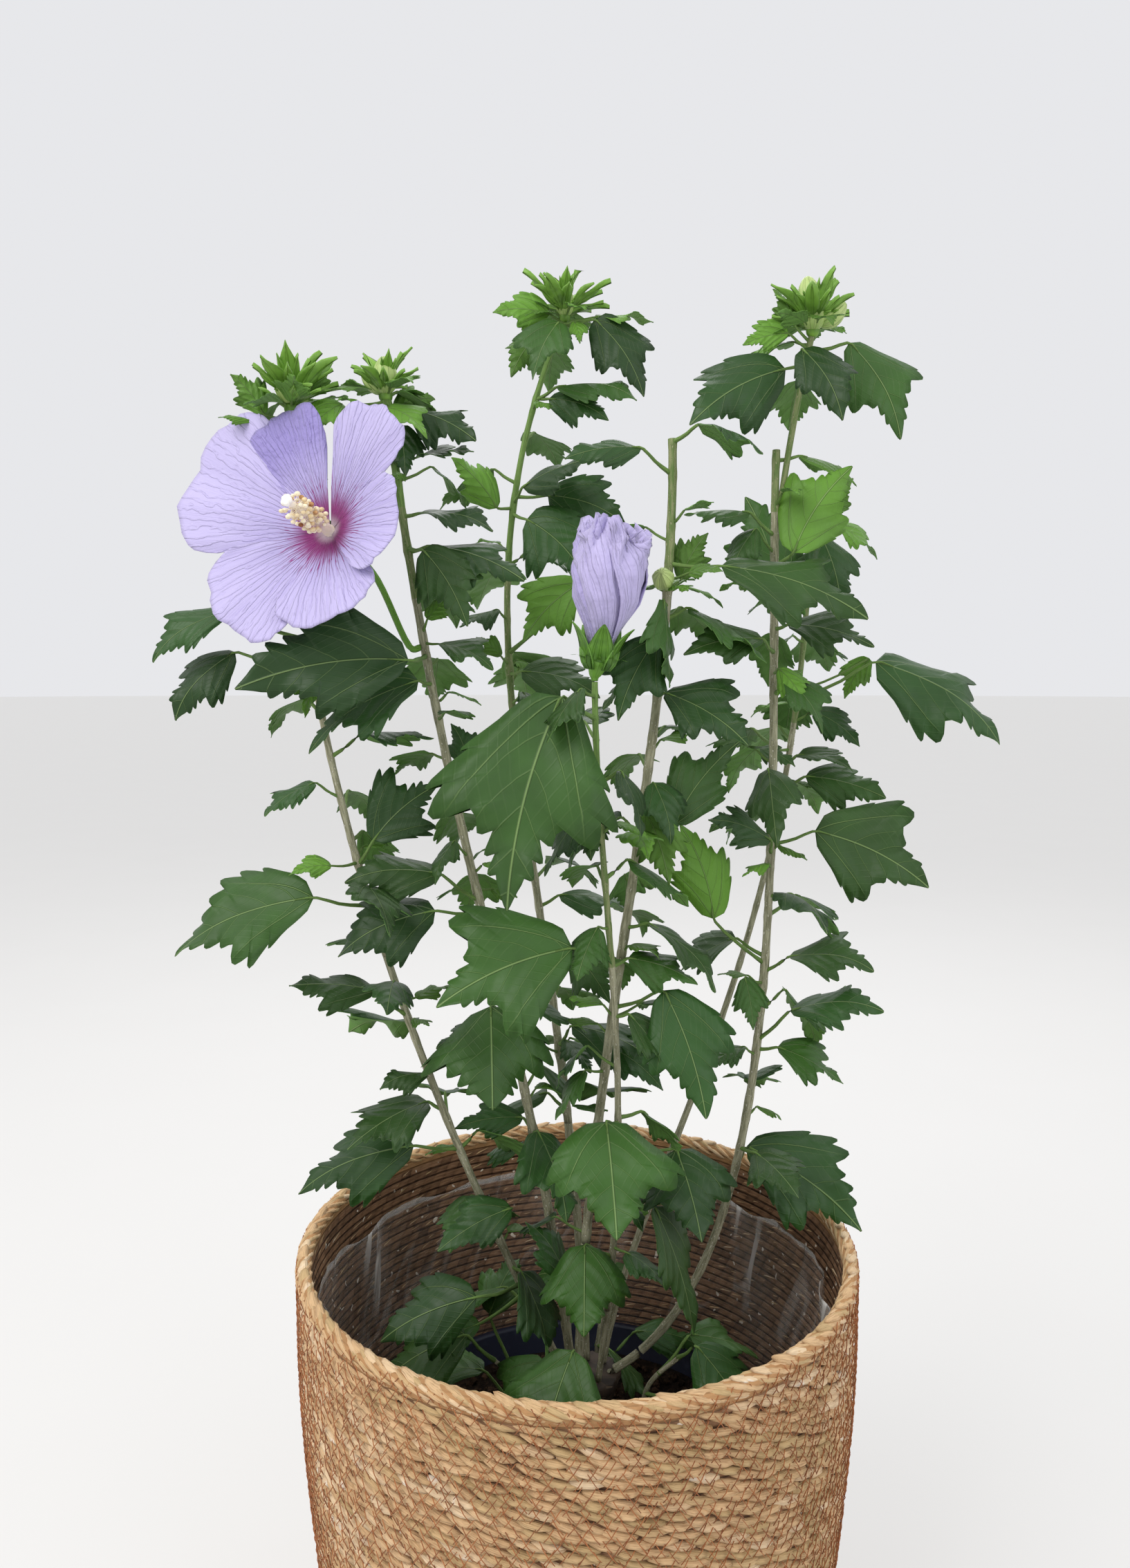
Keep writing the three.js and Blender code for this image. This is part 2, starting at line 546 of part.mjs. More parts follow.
function nurseryPot() {
  const lip = 3;
  return turned([
    [0, POT_FLOOR], [NURSERY_FOOT_RADIUS, POT_FLOOR], [NURSERY_RADIUS - lip, NURSERY_RIM - 9],
    [NURSERY_RADIUS, NURSERY_RIM - 9], [NURSERY_RADIUS, NURSERY_RIM],
    [NURSERY_RADIUS - lip - NURSERY_WALL, NURSERY_RIM],
    [NURSERY_FOOT_RADIUS - NURSERY_WALL, POT_FLOOR + NURSERY_WALL], [0, POT_FLOOR + NURSERY_WALL],
  ]);
}

// Soil with a crumbly surface that is flat where the trunk stands
function soil() {
  const foot = POT_FLOOR + NURSERY_WALL + CLEAR;
  const innerAt = (height) => {
    const share = (height - POT_FLOOR) / (NURSERY_RIM - POT_FLOOR);
    const topRadius = NURSERY_RADIUS - 3 - NURSERY_WALL;
    const footRadius = NURSERY_FOOT_RADIUS - NURSERY_WALL;
    return footRadius + (topRadius - footRadius) * share - CLEAR * 3;
  };
  const segments = 28;
  const profile = [
    [0, foot], [innerAt(foot), foot], [innerAt(SOIL_LEVEL), SOIL_LEVEL - 2], [88, SOIL_LEVEL], [68, SOIL_LEVEL],
    [48, SOIL_LEVEL], [30, SOIL_LEVEL], [0, SOIL_LEVEL],
  ].map(([radius, height]) => new THREE.Vector2(radius, height));
  const plug = new THREE.LatheGeometry(profile, segments).rotateX(Math.PI / 2);
  return toSolid(movePoints(plug, (point) => {
    const reach = Math.hypot(point.x, point.y);
    const loose = reach > 40 && reach < 95 && point.z > SOIL_LEVEL - 1;
    const bump = loose ? 2.2 * Math.sin(point.x * 0.21) * Math.cos(point.y * 0.17 + 1) : 0;
    return new THREE.Vector3(point.x, point.y, point.z + bump);
  }));
}

// The trunk leans a little to the right and flares at its flat cut on the soil
const TRUNK_FOOT = new THREE.Vector3(2, 1, SOIL_LEVEL + CLEAR);
const TRUNK_HEAD = new THREE.Vector3(6, 0, TRUNK_TOP);
const TRUNK_RADII = [[0, 17], [0.12, 13], [0.35, 11], [0.6, 11.5], [0.8, 14], [0.93, 16.5], [1, 16]];

function trunk() {
  const profile = TRUNK_RADII.map(([share, radius]) => new THREE.Vector2(radius, share));
  profile.unshift(new THREE.Vector2(0, 0));
  profile.push(new THREE.Vector2(0, 1));
  const stool = new THREE.LatheGeometry(profile, 14).rotateX(Math.PI / 2);
  return toSolid(movePoints(stool, (point) => {
    const turn = Math.atan2(point.y, point.x);
    const root = 1 + 0.14 * Math.cos(turn * 5) * (1 - point.z) ** 2;
    const centre = TRUNK_FOOT.clone().lerp(TRUNK_HEAD, point.z);
    return centre.add(new THREE.Vector3(point.x * root, point.y * root, 0));
  }));
}

function caneCurve(cane) {
  const [low, high] = cane.bend.map((handle) => new THREE.Vector3(...handle));
  const foot = new THREE.Vector3(cane.foot[0], cane.foot[1], CANE_FOOT);
  return new THREE.CubicBezierCurve3(foot, low, high, new THREE.Vector3(...cane.tip));
}

// The green shoot that carries on beside the right cane's cut end
const RIGHT_SHOOT = new THREE.CubicBezierCurve3(
  new THREE.Vector3(94.5, -10.5, 628), new THREE.Vector3(97, -11, 655),
  new THREE.Vector3(102, -13, 690), new THREE.Vector3(109, -15, 723),
);

// All the leaves of one length of a shoot
function rowsBetween(rows, low, high) {
  return rows.filter(([rise]) => rise >= low && rise < high);
}

function leavesOnCurve(curve, rows, random) {
  return rows.flatMap((row) => {
    const joint = curve.getPoint(shareAtRise(curve, row[0]));
    return leafSolids(joint, leafFromRow(joint, row, random));
  });
}

addPiece('basket', basket(), STRAW);
addPiece('liner', liner(), FILM);
addPiece('nursery_pot', nurseryPot(), POT_PLASTIC);
addPiece('soil', soil(), SOIL);
addPiece('trunk', trunk(), TRUNK_BARK);

// Bare canes first, then the blooms, so that every leaf can keep clear of them
const curves = {};
const radiusOf = {};
for (const [name, cane] of Object.entries(CANES)) {
  const curve = caneCurve(cane);
  curves[name] = curve;
  radiusOf[name] = (share) => THREE.MathUtils.lerp(cane.radii[0], cane.radii[1], share);
  const end = shareAtRise(curve, cane.shoots[0]);
  addPiece(`cane_${name}`, limb(curve, 0, end, radiusOf[name], CANE_SIDES, 5, true), BARK);
}

// Frame of the open bloom: bearings run round it as seen from the front
const BLOOM_RIGHT = UP.clone().cross(BLOOM_FACING).normalize();
const BLOOM_UP = BLOOM_FACING.clone().cross(BLOOM_RIGHT);

function bloomPoint(bearing, reach, depth) {
  const turn = radians(bearing);
  return BLOOM_THROAT.clone()
    .addScaledVector(BLOOM_RIGHT, Math.cos(turn) * reach)
    .addScaledVector(BLOOM_UP, Math.sin(turn) * reach)
    .addScaledVector(BLOOM_FACING, depth);
}

// A petal: it widens like a fan from the throat outwards and ends in a broad, round margin
function petal([bearing, spread, length, raised]) {
  const tilt = 1.5;
  const corner = (along, edge, lift) => {
    const sideways = spread * Math.sqrt(1 - along ** 6);
    const reach = 1.5 + BLOOM_REACH * length * along;
    const depth = BLOOM_DEPTH * Math.sin(along * Math.PI * 0.42) + tilt * edge + raised * along;
    return bloomPoint(bearing - edge * sideways, reach * (1 + 0.1 * edge ** 2), depth + lift);
  };
  const half = PETAL_THICKNESS / 2;
  return spindle([
    [corner(0, 0, 0)],
    ...PETAL_RINGS.map((along) => [
      corner(along, 0, half), corner(along, 1, 0), corner(along, 0, -half), corner(along, -1, 0),
    ]),
    [corner(1, 0, 0)],
  ]);
}

// Five pointed calyx lobes behind a bloom, fused to its stalk
function calyx(centre, facing, spread, length) {
  const solids = [];
  const [side, other] = sectionAxes(facing, Math.abs(facing.z) > 0.6 ? ACROSS : UP);
  for (let i = 0; i < 5; i += 1) {
    const turn = (i / 5) * Math.PI * 2 + 0.3;
    const out = side.clone().multiplyScalar(Math.cos(turn)).addScaledVector(other, Math.sin(turn));
    const cone = new THREE.CylinderGeometry(0, length * 0.24, length, 4, 1);
    const way = facing.clone().addScaledVector(out, spread).normalize();
    const turned90 = new THREE.Quaternion().setFromUnitVectors(new THREE.Vector3(0, 1, 0), way);
    solids.push(toSolid(movePoints(cone, (point) => (
      point.clone().setY(point.y + length * 0.42).applyQuaternion(turned90).add(centre)
    ))));
  }
  return solids;
}

function openBloom() {
  const curve = curves.bloom;
  const share = shareAtRise(curve, BLOOM_JOINT);
  const joint = curve.getPoint(share);
  const back = bloomPoint(0, 0, -9);
  const along = curve.getTangent(share);
  const way = back.clone().sub(joint);
  const out = way.clone().addScaledVector(along, -way.dot(along)).normalize();
  const start = joint.clone().addScaledVector(out, radiusOf.bloom(share) + CLEAR);
  const elbow = start.clone().addScaledVector(out, 4);
  const bend = start.clone().lerp(back, 0.6).add(new THREE.Vector3(0, 4, 4));
  const stem = new THREE.CatmullRomCurve3([start, elbow, bend, back, bloomPoint(0, 0, -1)]);
  const columnPath = new THREE.LineCurve3(bloomPoint(0, 0, -2), bloomPoint(0, 0, COLUMN_LENGTH));
  const columnRadius = (part) => (part < 0.35 ? 1.8 : 4.2 - 2.6 * Math.max(0, part - 0.6));
  const throat = new THREE.SphereGeometry(4.6, 6, 4);
  const throatCentre = bloomPoint(0, 0, -1);
  return fuse([
    toSolid(movePoints(throat, (point) => point.clone().add(throatCentre))),
    limb(stem, 0, 1, (part) => (part < 0.75 ? 1.7 : 3.4), 5, 6),
    limb(columnPath, 0, 1, columnRadius, 5, 3),
    ...PETALS.map(petal),
    ...calyx(bloomPoint(0, 0, -6), BLOOM_FACING, 0.75, CALYX_LENGTH),
  ]);
}

function furledBloom() {
  const profile = FURLED_RADII.map(([share, radius]) => new THREE.Vector2(radius, share));
  const roll = new THREE.LatheGeometry(profile, 9);
  const axis = FURLED_TOP.clone().sub(FURLED_FOOT);
  const [side, other] = sectionAxes(axis.clone().normalize(), ACROSS);
  const body = toSolid(movePoints(roll, (point) => {
    const turn = Math.atan2(point.z, point.x);
    const ruffle = 1 + 0.1 * Math.cos(turn * 4 + point.y * 5) * point.y;
    return FURLED_FOOT.clone().addScaledVector(axis, point.y)
      .addScaledVector(side, point.x * ruffle)
      .addScaledVector(other, point.z * ruffle);
  }));
  const facing = axis.clone().normalize();
  const end = shareAtRise(curves.slim, CANES.slim.shoots[1]);
  const way = curves.slim.getTangent(end);
  const start = curves.slim.getPoint(end).addScaledVector(way, CLEAR);
  const neck = new THREE.CatmullRomCurve3([
    start, start.clone().addScaledVector(way, 2), FURLED_FOOT.clone().addScaledVector(facing, 5),
  ]);
  return fuse([
    body, limb(neck, 0, 1, () => radiusOf.slim(1), STEM_SIDES, 2),
    ...calyx(FURLED_FOOT.clone().addScaledVector(facing, 4), facing, 0.6, 21),
  ]);
}

addPiece('open_bloom', openBloom(), PETAL);
addPiece('furled_bloom', furledBloom(), FURLED_PETAL);

// Leafy lengths of the canes: each is one stem with its leaves, and stands just clear of the length below
const masses = [];
for (const [name, cane] of Object.entries(CANES)) {
  const curve = curves[name];
  const parts = cane.shoots.length - 1;
  for (let part = 0; part < parts; part += 1) {
    const low = cane.shoots[part];
    const high = cane.shoots[part + 1];
    const from = shareAtRise(curve, low) + CLEAR / curve.getLength();
    const to = shareAtRise(curve, high);
    const label = parts > 1 ? `leaves_${name}_${['lower', 'upper'][part]}` : `leaves_${name}`;
    const stems = [limb(curve, from, to, radiusOf[name], STEM_SIDES, 5)];
    const grow = (random) => [
      ...leavesOnCurve(curve, rowsBetween(CANE_LEAVES[name], low, high), random),
      ...youngLeaves(curve, from + 0.02, to - 0.03, random),
      ...(part === parts - 1 ? topOf(name, curve, to, random) : []),
    ];
    if (label === 'leaves_right_upper') stems.push(limb(RIGHT_SHOOT, 0, 1, () => 1.5, STEM_SIDES, 4));
    masses.push({ label, stems, grow });
  }
}

// What stands at the top of a cane besides its leaves
function topOf(name, curve, end, random) {
  if (name === 'middle') {
    const joint = curve.getPoint(shareAtRise(curve, ROUND_BUD.rise));
    const way = direction(ROUND_BUD.bearing, ROUND_BUD.lift);
    return budSolids(joint, way, ROUND_BUD.reach, ROUND_BUD.radius, 1.1);
  }
  if (name === 'right') {
    return [
      ...leavesOnCurve(RIGHT_SHOOT, CANE_LEAVES.right_top, random),
      ...tipSolids(RIGHT_SHOOT.getPoint(1), TIPS.right_top, random),
    ];
  }
  return TIPS[name] ? tipSolids(curve.getPoint(end), TIPS[name], random) : [];
}

for (const [label, bearing, lift, length, rows] of LOW_SHOOTS) {
  const out = direction(bearing, 0);
  const start = TRUNK_FOOT.clone().lerp(TRUNK_HEAD, 0.5).addScaledVector(out, 11.9 + CLEAR);
  const end = start.clone().addScaledVector(direction(bearing, lift), length);
  const path = new THREE.CatmullRomCurve3([
    start, start.clone().addScaledVector(out, length * 0.25), start.clone().lerp(end, 0.6), end,
  ]);
  const stems = [limb(path, 0, 1, (share) => 1.8 - 0.6 * share, STEM_SIDES, 5)];
  const grow = (random) => rows.flatMap((row) => {
    const joint = path.getPoint(row[0]);
    return leafSolids(joint, leafFromRow(joint, row, random));
  });
  masses.push({ label, stems, grow });
}

// All the stems are in place before the first leaf, and a mass may touch only its own
for (const { label, stems } of masses) placed.set(label, fuse(stems));
masses.forEach(({ label, stems, grow }, i) => {
  placed.delete(label);
  addPiece(label, fuse([...stems, ...grow(seeded(28 + 17 * i))]), LEAF);
});

export default shrub;
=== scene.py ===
"""A potted hibiscus shrub in a woven grass basket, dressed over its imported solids. Metres, +Z up."""
import math

import bmesh
import bpy
import numpy as np
from mathutils import Euler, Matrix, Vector


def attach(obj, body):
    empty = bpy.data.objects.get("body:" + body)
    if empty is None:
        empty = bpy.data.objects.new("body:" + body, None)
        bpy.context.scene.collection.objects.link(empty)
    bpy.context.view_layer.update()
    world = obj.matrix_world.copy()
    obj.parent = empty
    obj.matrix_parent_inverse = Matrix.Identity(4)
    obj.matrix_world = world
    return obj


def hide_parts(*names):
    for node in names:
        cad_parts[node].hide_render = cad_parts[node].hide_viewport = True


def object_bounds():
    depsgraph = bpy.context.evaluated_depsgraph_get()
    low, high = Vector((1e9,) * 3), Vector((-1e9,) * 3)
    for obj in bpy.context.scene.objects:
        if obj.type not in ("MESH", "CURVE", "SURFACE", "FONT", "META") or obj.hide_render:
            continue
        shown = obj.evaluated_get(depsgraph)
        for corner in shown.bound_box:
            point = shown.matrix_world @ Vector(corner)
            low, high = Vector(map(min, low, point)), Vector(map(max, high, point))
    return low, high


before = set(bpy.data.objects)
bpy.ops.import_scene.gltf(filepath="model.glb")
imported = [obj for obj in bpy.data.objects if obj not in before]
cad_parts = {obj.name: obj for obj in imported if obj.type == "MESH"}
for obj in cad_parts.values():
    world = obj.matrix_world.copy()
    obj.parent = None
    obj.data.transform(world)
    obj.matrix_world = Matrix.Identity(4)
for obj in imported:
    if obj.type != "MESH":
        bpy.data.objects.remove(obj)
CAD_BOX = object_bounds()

bl_info = {
    "name": "Potted hibiscus shrub",
    "version": (1, 0, 0),
    "blender": (4, 5, 0),
    "location": "3D View > Sidebar > Shrub",
    "description": "Builds the leaves, blooms, canes and basket of a potted hibiscus shrub",
    "category": "Object",
}

# A millimetre in metres, and a metre in millimetres
MM, METRE = 0.001, 1000
UP = np.array([0.0, 0.0, 1.0])
ACROSS = np.array([1.0, 0.0, 0.0])
# The gap that neighbouring solids keep
CLEAR = 0.3
GOLDEN_ANGLE = 137.5
outer = np.multiply.outer

# Sizes that the solids share with these pieces, in millimetres
BASKET_HEIGHT = 280
BASKET_RADIUS = 140
BASKET_FOOT_RADIUS = 124
BASKET_WALL = 6
RIM_ROLL = 4.5
LINER_HEIGHT = 252
NURSERY_RIM = 165
NURSERY_RADIUS = 110
NURSERY_FOOT_RADIUS = 88
NURSERY_WALL = 2
SOIL_LEVEL = 150
POT_FLOOR = 7.1
TRUNK_TOP = 203
RIM_RADIUS, RIM_LEVEL = BASKET_RADIUS - BASKET_WALL / 2, BASKET_HEIGHT - RIM_ROLL
NURSERY_INSIDE, NURSERY_FLOOR = NURSERY_FOOT_RADIUS - NURSERY_WALL, POT_FLOOR + NURSERY_WALL
CANE_FOOT = TRUNK_TOP + CLEAR
TRUNK_FOOT = np.array([2.0, 1.0, SOIL_LEVEL + CLEAR])
TRUNK_HEAD = np.array([6.0, 0.0, TRUNK_TOP])
TRUNK_RADII = [(0, 17), (0.12, 13), (0.35, 11), (0.6, 11.5), (0.8, 14), (0.93, 16.5), (1, 16)]
STALK_RADIUS = 0.9
TIP_HUB = 3.2

# Leaves of the solids: widths over the blade's length, then curl and cup in degrees, the half-width at
# which the cup is reached, the length below which a leaf is small, and young leaves to each length
LEAF_WIDTH, LOBE_WIDTH, FULL_WIDTH = 0.2, 0.11, 0.31
LEAF_CURL, LEAF_CUP, CUP_REACH = 30, 25, 0.35
SMALL_LEAF, YOUNG_LEAVES = 32, 3

# Sizes of the looks alone, in millimetres: thickness of blades and petals and of bracts and sepals, least
# half-width of a blade, distance between two rings of bark, radius of a filament, a stigma's arm and
# the thread
BLADE_THICK, BRACT_THICK, LEAST_WIDTH = 0.45, 0.5, 0.35
RING_PITCH = 2.6
FILAMENT, STIGMA_ARM, THREAD = 0.22, 0.5, 0.26
# How many anthers, soil crumbs and strands in one round of the rim; anthers past the first so many are
# spent by that chance
ANTHERS, CRUMBS, RIM_STRANDS = 84, 1500, 92
FRESH_ANTHERS, SPENT_CHANCE = 46, 0.3
# The weave: heights where its two pieces meet and end, where the stitches end, and of the first strands
# and stitches, and how deep the strands of wall and rim sink in
WEAVE_SPLIT, WEAVE_TOP, STITCH_TOP = 135, 279, 276
FIRST_STRAND, FIRST_STITCH = 2.6, 4.6
STRAND_SINK, RIM_SINK = 2.5, 2.2
# Steps round the pieces that are turned
TURNED_STEPS, SOIL_STEPS, FILM_STEPS = 96, 120, 240
# The range that phases of waves are drawn from, about a full turn
PHASES = 6.3

# Seeds: those of the solids' leaves by length, then those of the looks
LENGTH_SEED, LENGTH_SEED_STEP = 28, 17
FINER_SEED, BLADE_SEED, TIP_SEED, BLOOM_SEED, FURLED_SEED = 91, 4, 9, 21, 33
WEAVE_SEED, SOIL_SEED = 5, 8

# Canes: foot, the two handles and the tip of each centreline, radii at foot and tip, and the rises
# where the bare cane gives way to leafy lengths
CANES = {
    "left": ((-6, -3), (-69, -14, 341), (-134, -42, 522), (-129, -35, 684), (2.4, 1.6), (238, 430, 683)),
    "bloom": ((-3, 6), (-25, -5, 404), (-59, -34, 457), (-87, -33, 690), (2.8, 2), (310, 520, 689)),
    "back": ((5, 10), (-5, 53, 469), (-77, 56, 586), (-6, 55, 752), (2.7, 1.6), (325, 520, 751)),
    "slim": ((11, -9), (32, -33, 378), (8, -55, 452), (7, -60, 562), (1.9, 1.5), (245, 561)),
    "middle": ((1, -10), (3, -30, 384), (45, -32, 523), (43, -30, 671), (2.7, 2.2), (282, 485, 671)),
    "right": ((18, -1), (122, 20, 249), (90, -18, 541), (94, -10, 670), (2.5, 2.1), (298, 515, 670)),
    "far_right": ((14, 7), (30, 20, 300), (118, 42, 400), (122, 40, 638), (2.2, 1.6), (480, 638)),
}

# Leaves of each cane: rise of the joint, the stalk's bearing, reach and lift, then the blade's heading,
# droop, length, roll and, where it isn't 1, its breadth. Angles are in degrees
CANE_LEAVES = {
    "left": [
        [250, 210, 27, -20, 200, 5, 32, -20], [255, 245, 48, 20, 190, 5, 50, -45],
        [290, 295, 33, 35, 205, 5, 40, -40], [330, 210, 25, 15, 195, 0, 60, -40],
        [345, 100, 18, 25, 95, 10, 42, 10], [370, 275, 8, 20, 205, -10, 25, -15],
        [400, 230, 25, 40, 190, -20, 40, -20], [408, 40, 8, -5, 30, -25, 20, 15],
        [455, 230, 34, 15, 185, 5, 70, -45], [475, 315, 18, 45, 15, -55, 40, 70],
        [476, 250, 23, 5, 210, -10, 20, -40], [500, 95, 20, 25, 80, 10, 45, -10],
        [565, 190, 36, 15, 195, 30, 42, -50], [566, 285, 16, 0, 240, 60, 22, -80],
        [580, 195, 37, 20, 190, 15, 42, -45], [625, 80, 20, 20, 95, 10, 48, 10],
        [660, 140, 14, 25, 150, 0, 34, -10], [678, 195, 12, 10, 190, -65, 22, -85],
        [679, 360, 24, 15, 230, 25, 26, -30], [680, 195, 18, -10, 205, -15, 14, -45],
        [681, 40, 12, 45, 15, -70, 20, 70], [681, 70, 12, 30, 30, -30, 22, 15],
    ],
    "bloom": [
        [335, 170, 8, 50, 190, -10, 35, -45], [375, 105, 22, 25, 110, 10, 46, -10],
        [400, 255, 24, 20, 275, 35, 50, 0, 1.6], [450, 225, 29, 10, 195, 5, 50, -45],
        [456, 220, 27, 35, 195, -15, 45, -45], [462, 50, 11, -10, 325, -10, 16, 15],
        [490, 95, 20, 20, 100, 15, 45, -10], [505, 45, 17, 60, 150, -80, 25, -45],
        [560, 255, 16, 5, 195, 15, 60, -45], [573, 262, 30, -5, 190, -5, 75, -70],
        [579, 320, 10, -5, 340, 5, 30, 20], [583, 300, 9, 45, 25, -55, 16, 65],
        [587, 190, 14, 5, 185, -20, 16, -45], [600, 80, 20, 20, 75, 5, 46, 10],
        [620, 330, 12, 10, 340, 5, 50, 40], [622, 305, 15, -10, 330, 40, 42, 60],
        [636, 335, 9, 5, 350, -5, 36, 20], [645, 120, 16, 25, 125, 0, 40, -10],
        [660, 20, 10, 15, 0, -20, 27, 20], [682, 30, 8, -40, 290, 55, 26, 20],
        [684, 350, 9, -5, 350, 10, 36, 45], [685, 70, 8, 5, 30, -35, 22, 65],
        [686, 280, 8, -25, 320, 15, 30, 35], [687, 225, 14, -15, 210, -20, 12, -20],
    ],
    "back": [
        [350, 85, 24, 25, 80, 10, 48, 0], [360, 325, 30, 25, 335, 15, 40, 40],
        [362, 230, 20, 30, 215, -10, 25, -15], [366, 290, 26, 40, 340, 0, 45, 20],
        [400, 110, 22, 25, 115, 10, 46, -10], [410, 305, 25, 25, 310, 20, 36, 45],
        [455, 60, 22, 25, 55, 10, 50, 10], [505, 130, 22, 20, 130, 10, 48, -10],
        [560, 80, 24, 20, 85, 10, 50, 0], [565, 300, 14, 5, 340, 0, 46, 40],
        [570, 245, 10, 25, 205, -50, 17, -95], [576, 320, 60, 35, 180, 30, 42, -80],
        [615, 110, 20, 25, 110, 10, 48, -10], [650, 310, 13, -20, 325, 25, 50, 55],
        [653, 215, 10, -5, 215, -55, 36, -95], [656, 290, 16, 20, 335, -30, 40, 50],
        [659, 350, 18, 0, 340, 5, 46, 70], [690, 75, 16, 20, 70, 0, 42, 10],
        [710, 330, 8, -10, 335, 5, 36, 65], [736, 90, 14, 10, 95, 5, 38, 0],
        [744, 270, 15, 0, 235, 40, 40, -25], [745, 180, 9, -5, 195, 40, 30, -70],
        [747, 345, 18, 5, 335, 40, 50, 60], [748, 305, 12, -10, 290, 45, 15, 20],
        [749, 205, 8, 20, 190, -15, 30, -75], [749, 10, 17, 10, 355, -10, 32, 20],
    ],
    "slim": [
        [258, 202, 24, 20, 150, -65, 36, 0, 1.3], [276, 205, 18, 32, 268, 32, 42, 0, 1.5],
        [350, 250, 20, 22, 275, 30, 54, 0, 1.6], [430, 35, 10, 15, 340, 0, 35, 40],
        [434, 220, 25, 20, 195, 5, 66, -62, 1.3], [470, 105, 14, 25, 115, 10, 32, -10],
        [510, 120, 15, -25, 285, 45, 26, 15], [545, 225, 23, 25, 225, 55, 95, -45],
    ],
    "middle": [
        [300, 320, 42, 20, 315, 50, 60, -15], [330, 355, 40, 5, 285, 25, 46, 10, 1.4],
        [345, 80, 22, 25, 80, 10, 46, 0], [405, 320, 32, 25, 315, 50, 60, 40],
        [440, 80, 20, 25, 75, 10, 46, 10], [495, 330, 17, 0, 15, -65, 50, 70],
        [501, 270, 15, 5, 325, 55, 36, 80], [520, 100, 18, 20, 105, 10, 44, -10],
        [555, 285, 10, 5, 335, 15, 46, 40], [580, 255, 15, 0, 210, 45, 42, -55],
        [590, 60, 18, 20, 60, 5, 40, 0], [596, 260, 15, 5, 285, 65, 40, -50],
        [604, 20, 8, 30, 0, -75, 25, 85], [608, 300, 16, 5, 325, -15, 17, 40],
        [615, 335, 25, -5, 350, 5, 70, 45], [655, 200, 19, 35, 190, -5, 36, -45],
    ],
    "right": [
        [312, 10, 11, 60, 340, 15, 70, 40], [345, 75, 20, 20, 80, 10, 44, 0],
        [375, 325, 12, 15, 340, 10, 36, 20], [380, 315, 27, 45, 340, -25, 46, 20],
        [410, 230, 19, 20, 285, 50, 26, 15], [416, 320, 17, 35, 340, -15, 42, 20],
        [420, 205, 40, 40, 180, -85, 50, -85], [445, 40, 22, 20, 40, 10, 42, 0],
        [470, 255, 11, 15, 210, 0, 17, -15], [476, 260, 13, 40, 200, -35, 36, -50],
        [481, 335, 23, 20, 345, 10, 60, 70], [530, 110, 22, 20, 110, 10, 46, 0],
        [565, 270, 12, 10, 320, 35, 22, 50], [575, 245, 22, 15, 195, -5, 40, -45],
        [586, 300, 10, 10, 335, 0, 42, 40], [600, 75, 20, 20, 80, 5, 42, 0],
        [616, 300, 14, 20, 10, -70, 50, 75], [630, 215, 19, 30, 190, -10, 32, -20],
    ],
    "right_top": [
        [700, 85, 14, 20, 85, 5, 42, 0], [709, 210, 13, -20, 200, 15, 56, -70],
        [711, 250, 15, 0, 310, 40, 42, 40], [714, 355, 19, 10, 335, 45, 52, 60],
        [715, 185, 12, 35, 180, 0, 22, -75], [717, 120, 12, 20, 140, -10, 30, -20],
        [718, 185, 10, 45, 155, -75, 22, -60],
    ],
    "far_right": [
        [500, 60, 20, 20, 55, 10, 44, 0], [505, 310, 16, 25, 345, 0, 42, 45],
        [525, 215, 30, 5, 345, 5, 26, 20], [530, 100, 20, 20, 100, 10, 46, 0],
        [540, 340, 11, 30, 340, 20, 31, 45], [552, 330, 45, 25, 345, 15, 76, 45],
        [556, 355, 40, 25, 130, 40, 26, -125], [580, 70, 22, 15, 60, 10, 44, 0],
        [605, 200, 16, -5, 130, -80, 60, -40], [620, 285, 20, 65, 300, 50, 45, 25],
        [630, 20, 18, 60, 10, -70, 26, 80],
    ],
}

# Low shoots: label, bearing, lift and length, and leaves as above with a share of the shoot for a rise
LOW_SHOOTS = [
    ("low_leaves_left", 205, 50, 60, [
        [0.45, 170, 34, 45, 160, 0, 42, -10], [0.7, 150, 36, 60, 60, -50, 34, 0, 1.3],
        [1, 215, 24, 50, 190, 10, 46, -35, 1.2],
    ]),
    ("low_leaves_front", 262, 60, 62, [
        [0.5, 330, 26, 45, 290, 45, 30, 0, 1.3], [0.7, 190, 24, 50, 200, 30, 36, -20, 1.3],
        [1, 270, 18, 62, 236, 40, 45, -5, 1.5],
    ]),
    ("low_leaves_right", 335, 50, 62, [
        [0.5, 350, 30, 30, 345, 0, 38, 10, 1.2], [0.8, 10, 24, 50, 5, 5, 40, 20],
        [1, 320, 14, 45, 325, 30, 42, 25, 1.3],
    ]),
    ("low_leaves_back", 75, 50, 48, [
        [0.5, 20, 28, 35, 15, 5, 42, 20], [0.9, 130, 24, 30, 130, 5, 44, -10],
        [1, 75, 22, 30, 75, 10, 46, 0],
    ]),
]

# Shoot tips: number and reach of the bracts, and each bud's bearing, lean, stalk and radius
TIPS = {
    "left": (11, 27, [(250, 30, 9, 4.5), (60, 45, 9, 4)]),
    "bloom": (8, 22, [(270, 12, 8, 5.5), (190, 40, 8, 4.5)]),
    "back": (9, 29, [(280, 12, 7, 5), (170, 20, 14, 3.6)]),
    "right_top": (10, 25, [(268, 14, 8, 6), (120, 10, 17, 5.5), (0, 50, 11, 5.2)]),
}
# The round bud of the middle cane: rise, bearing, lift, stalk and radius
ROUND_BUD = (602, 256, 22, 13, 5)

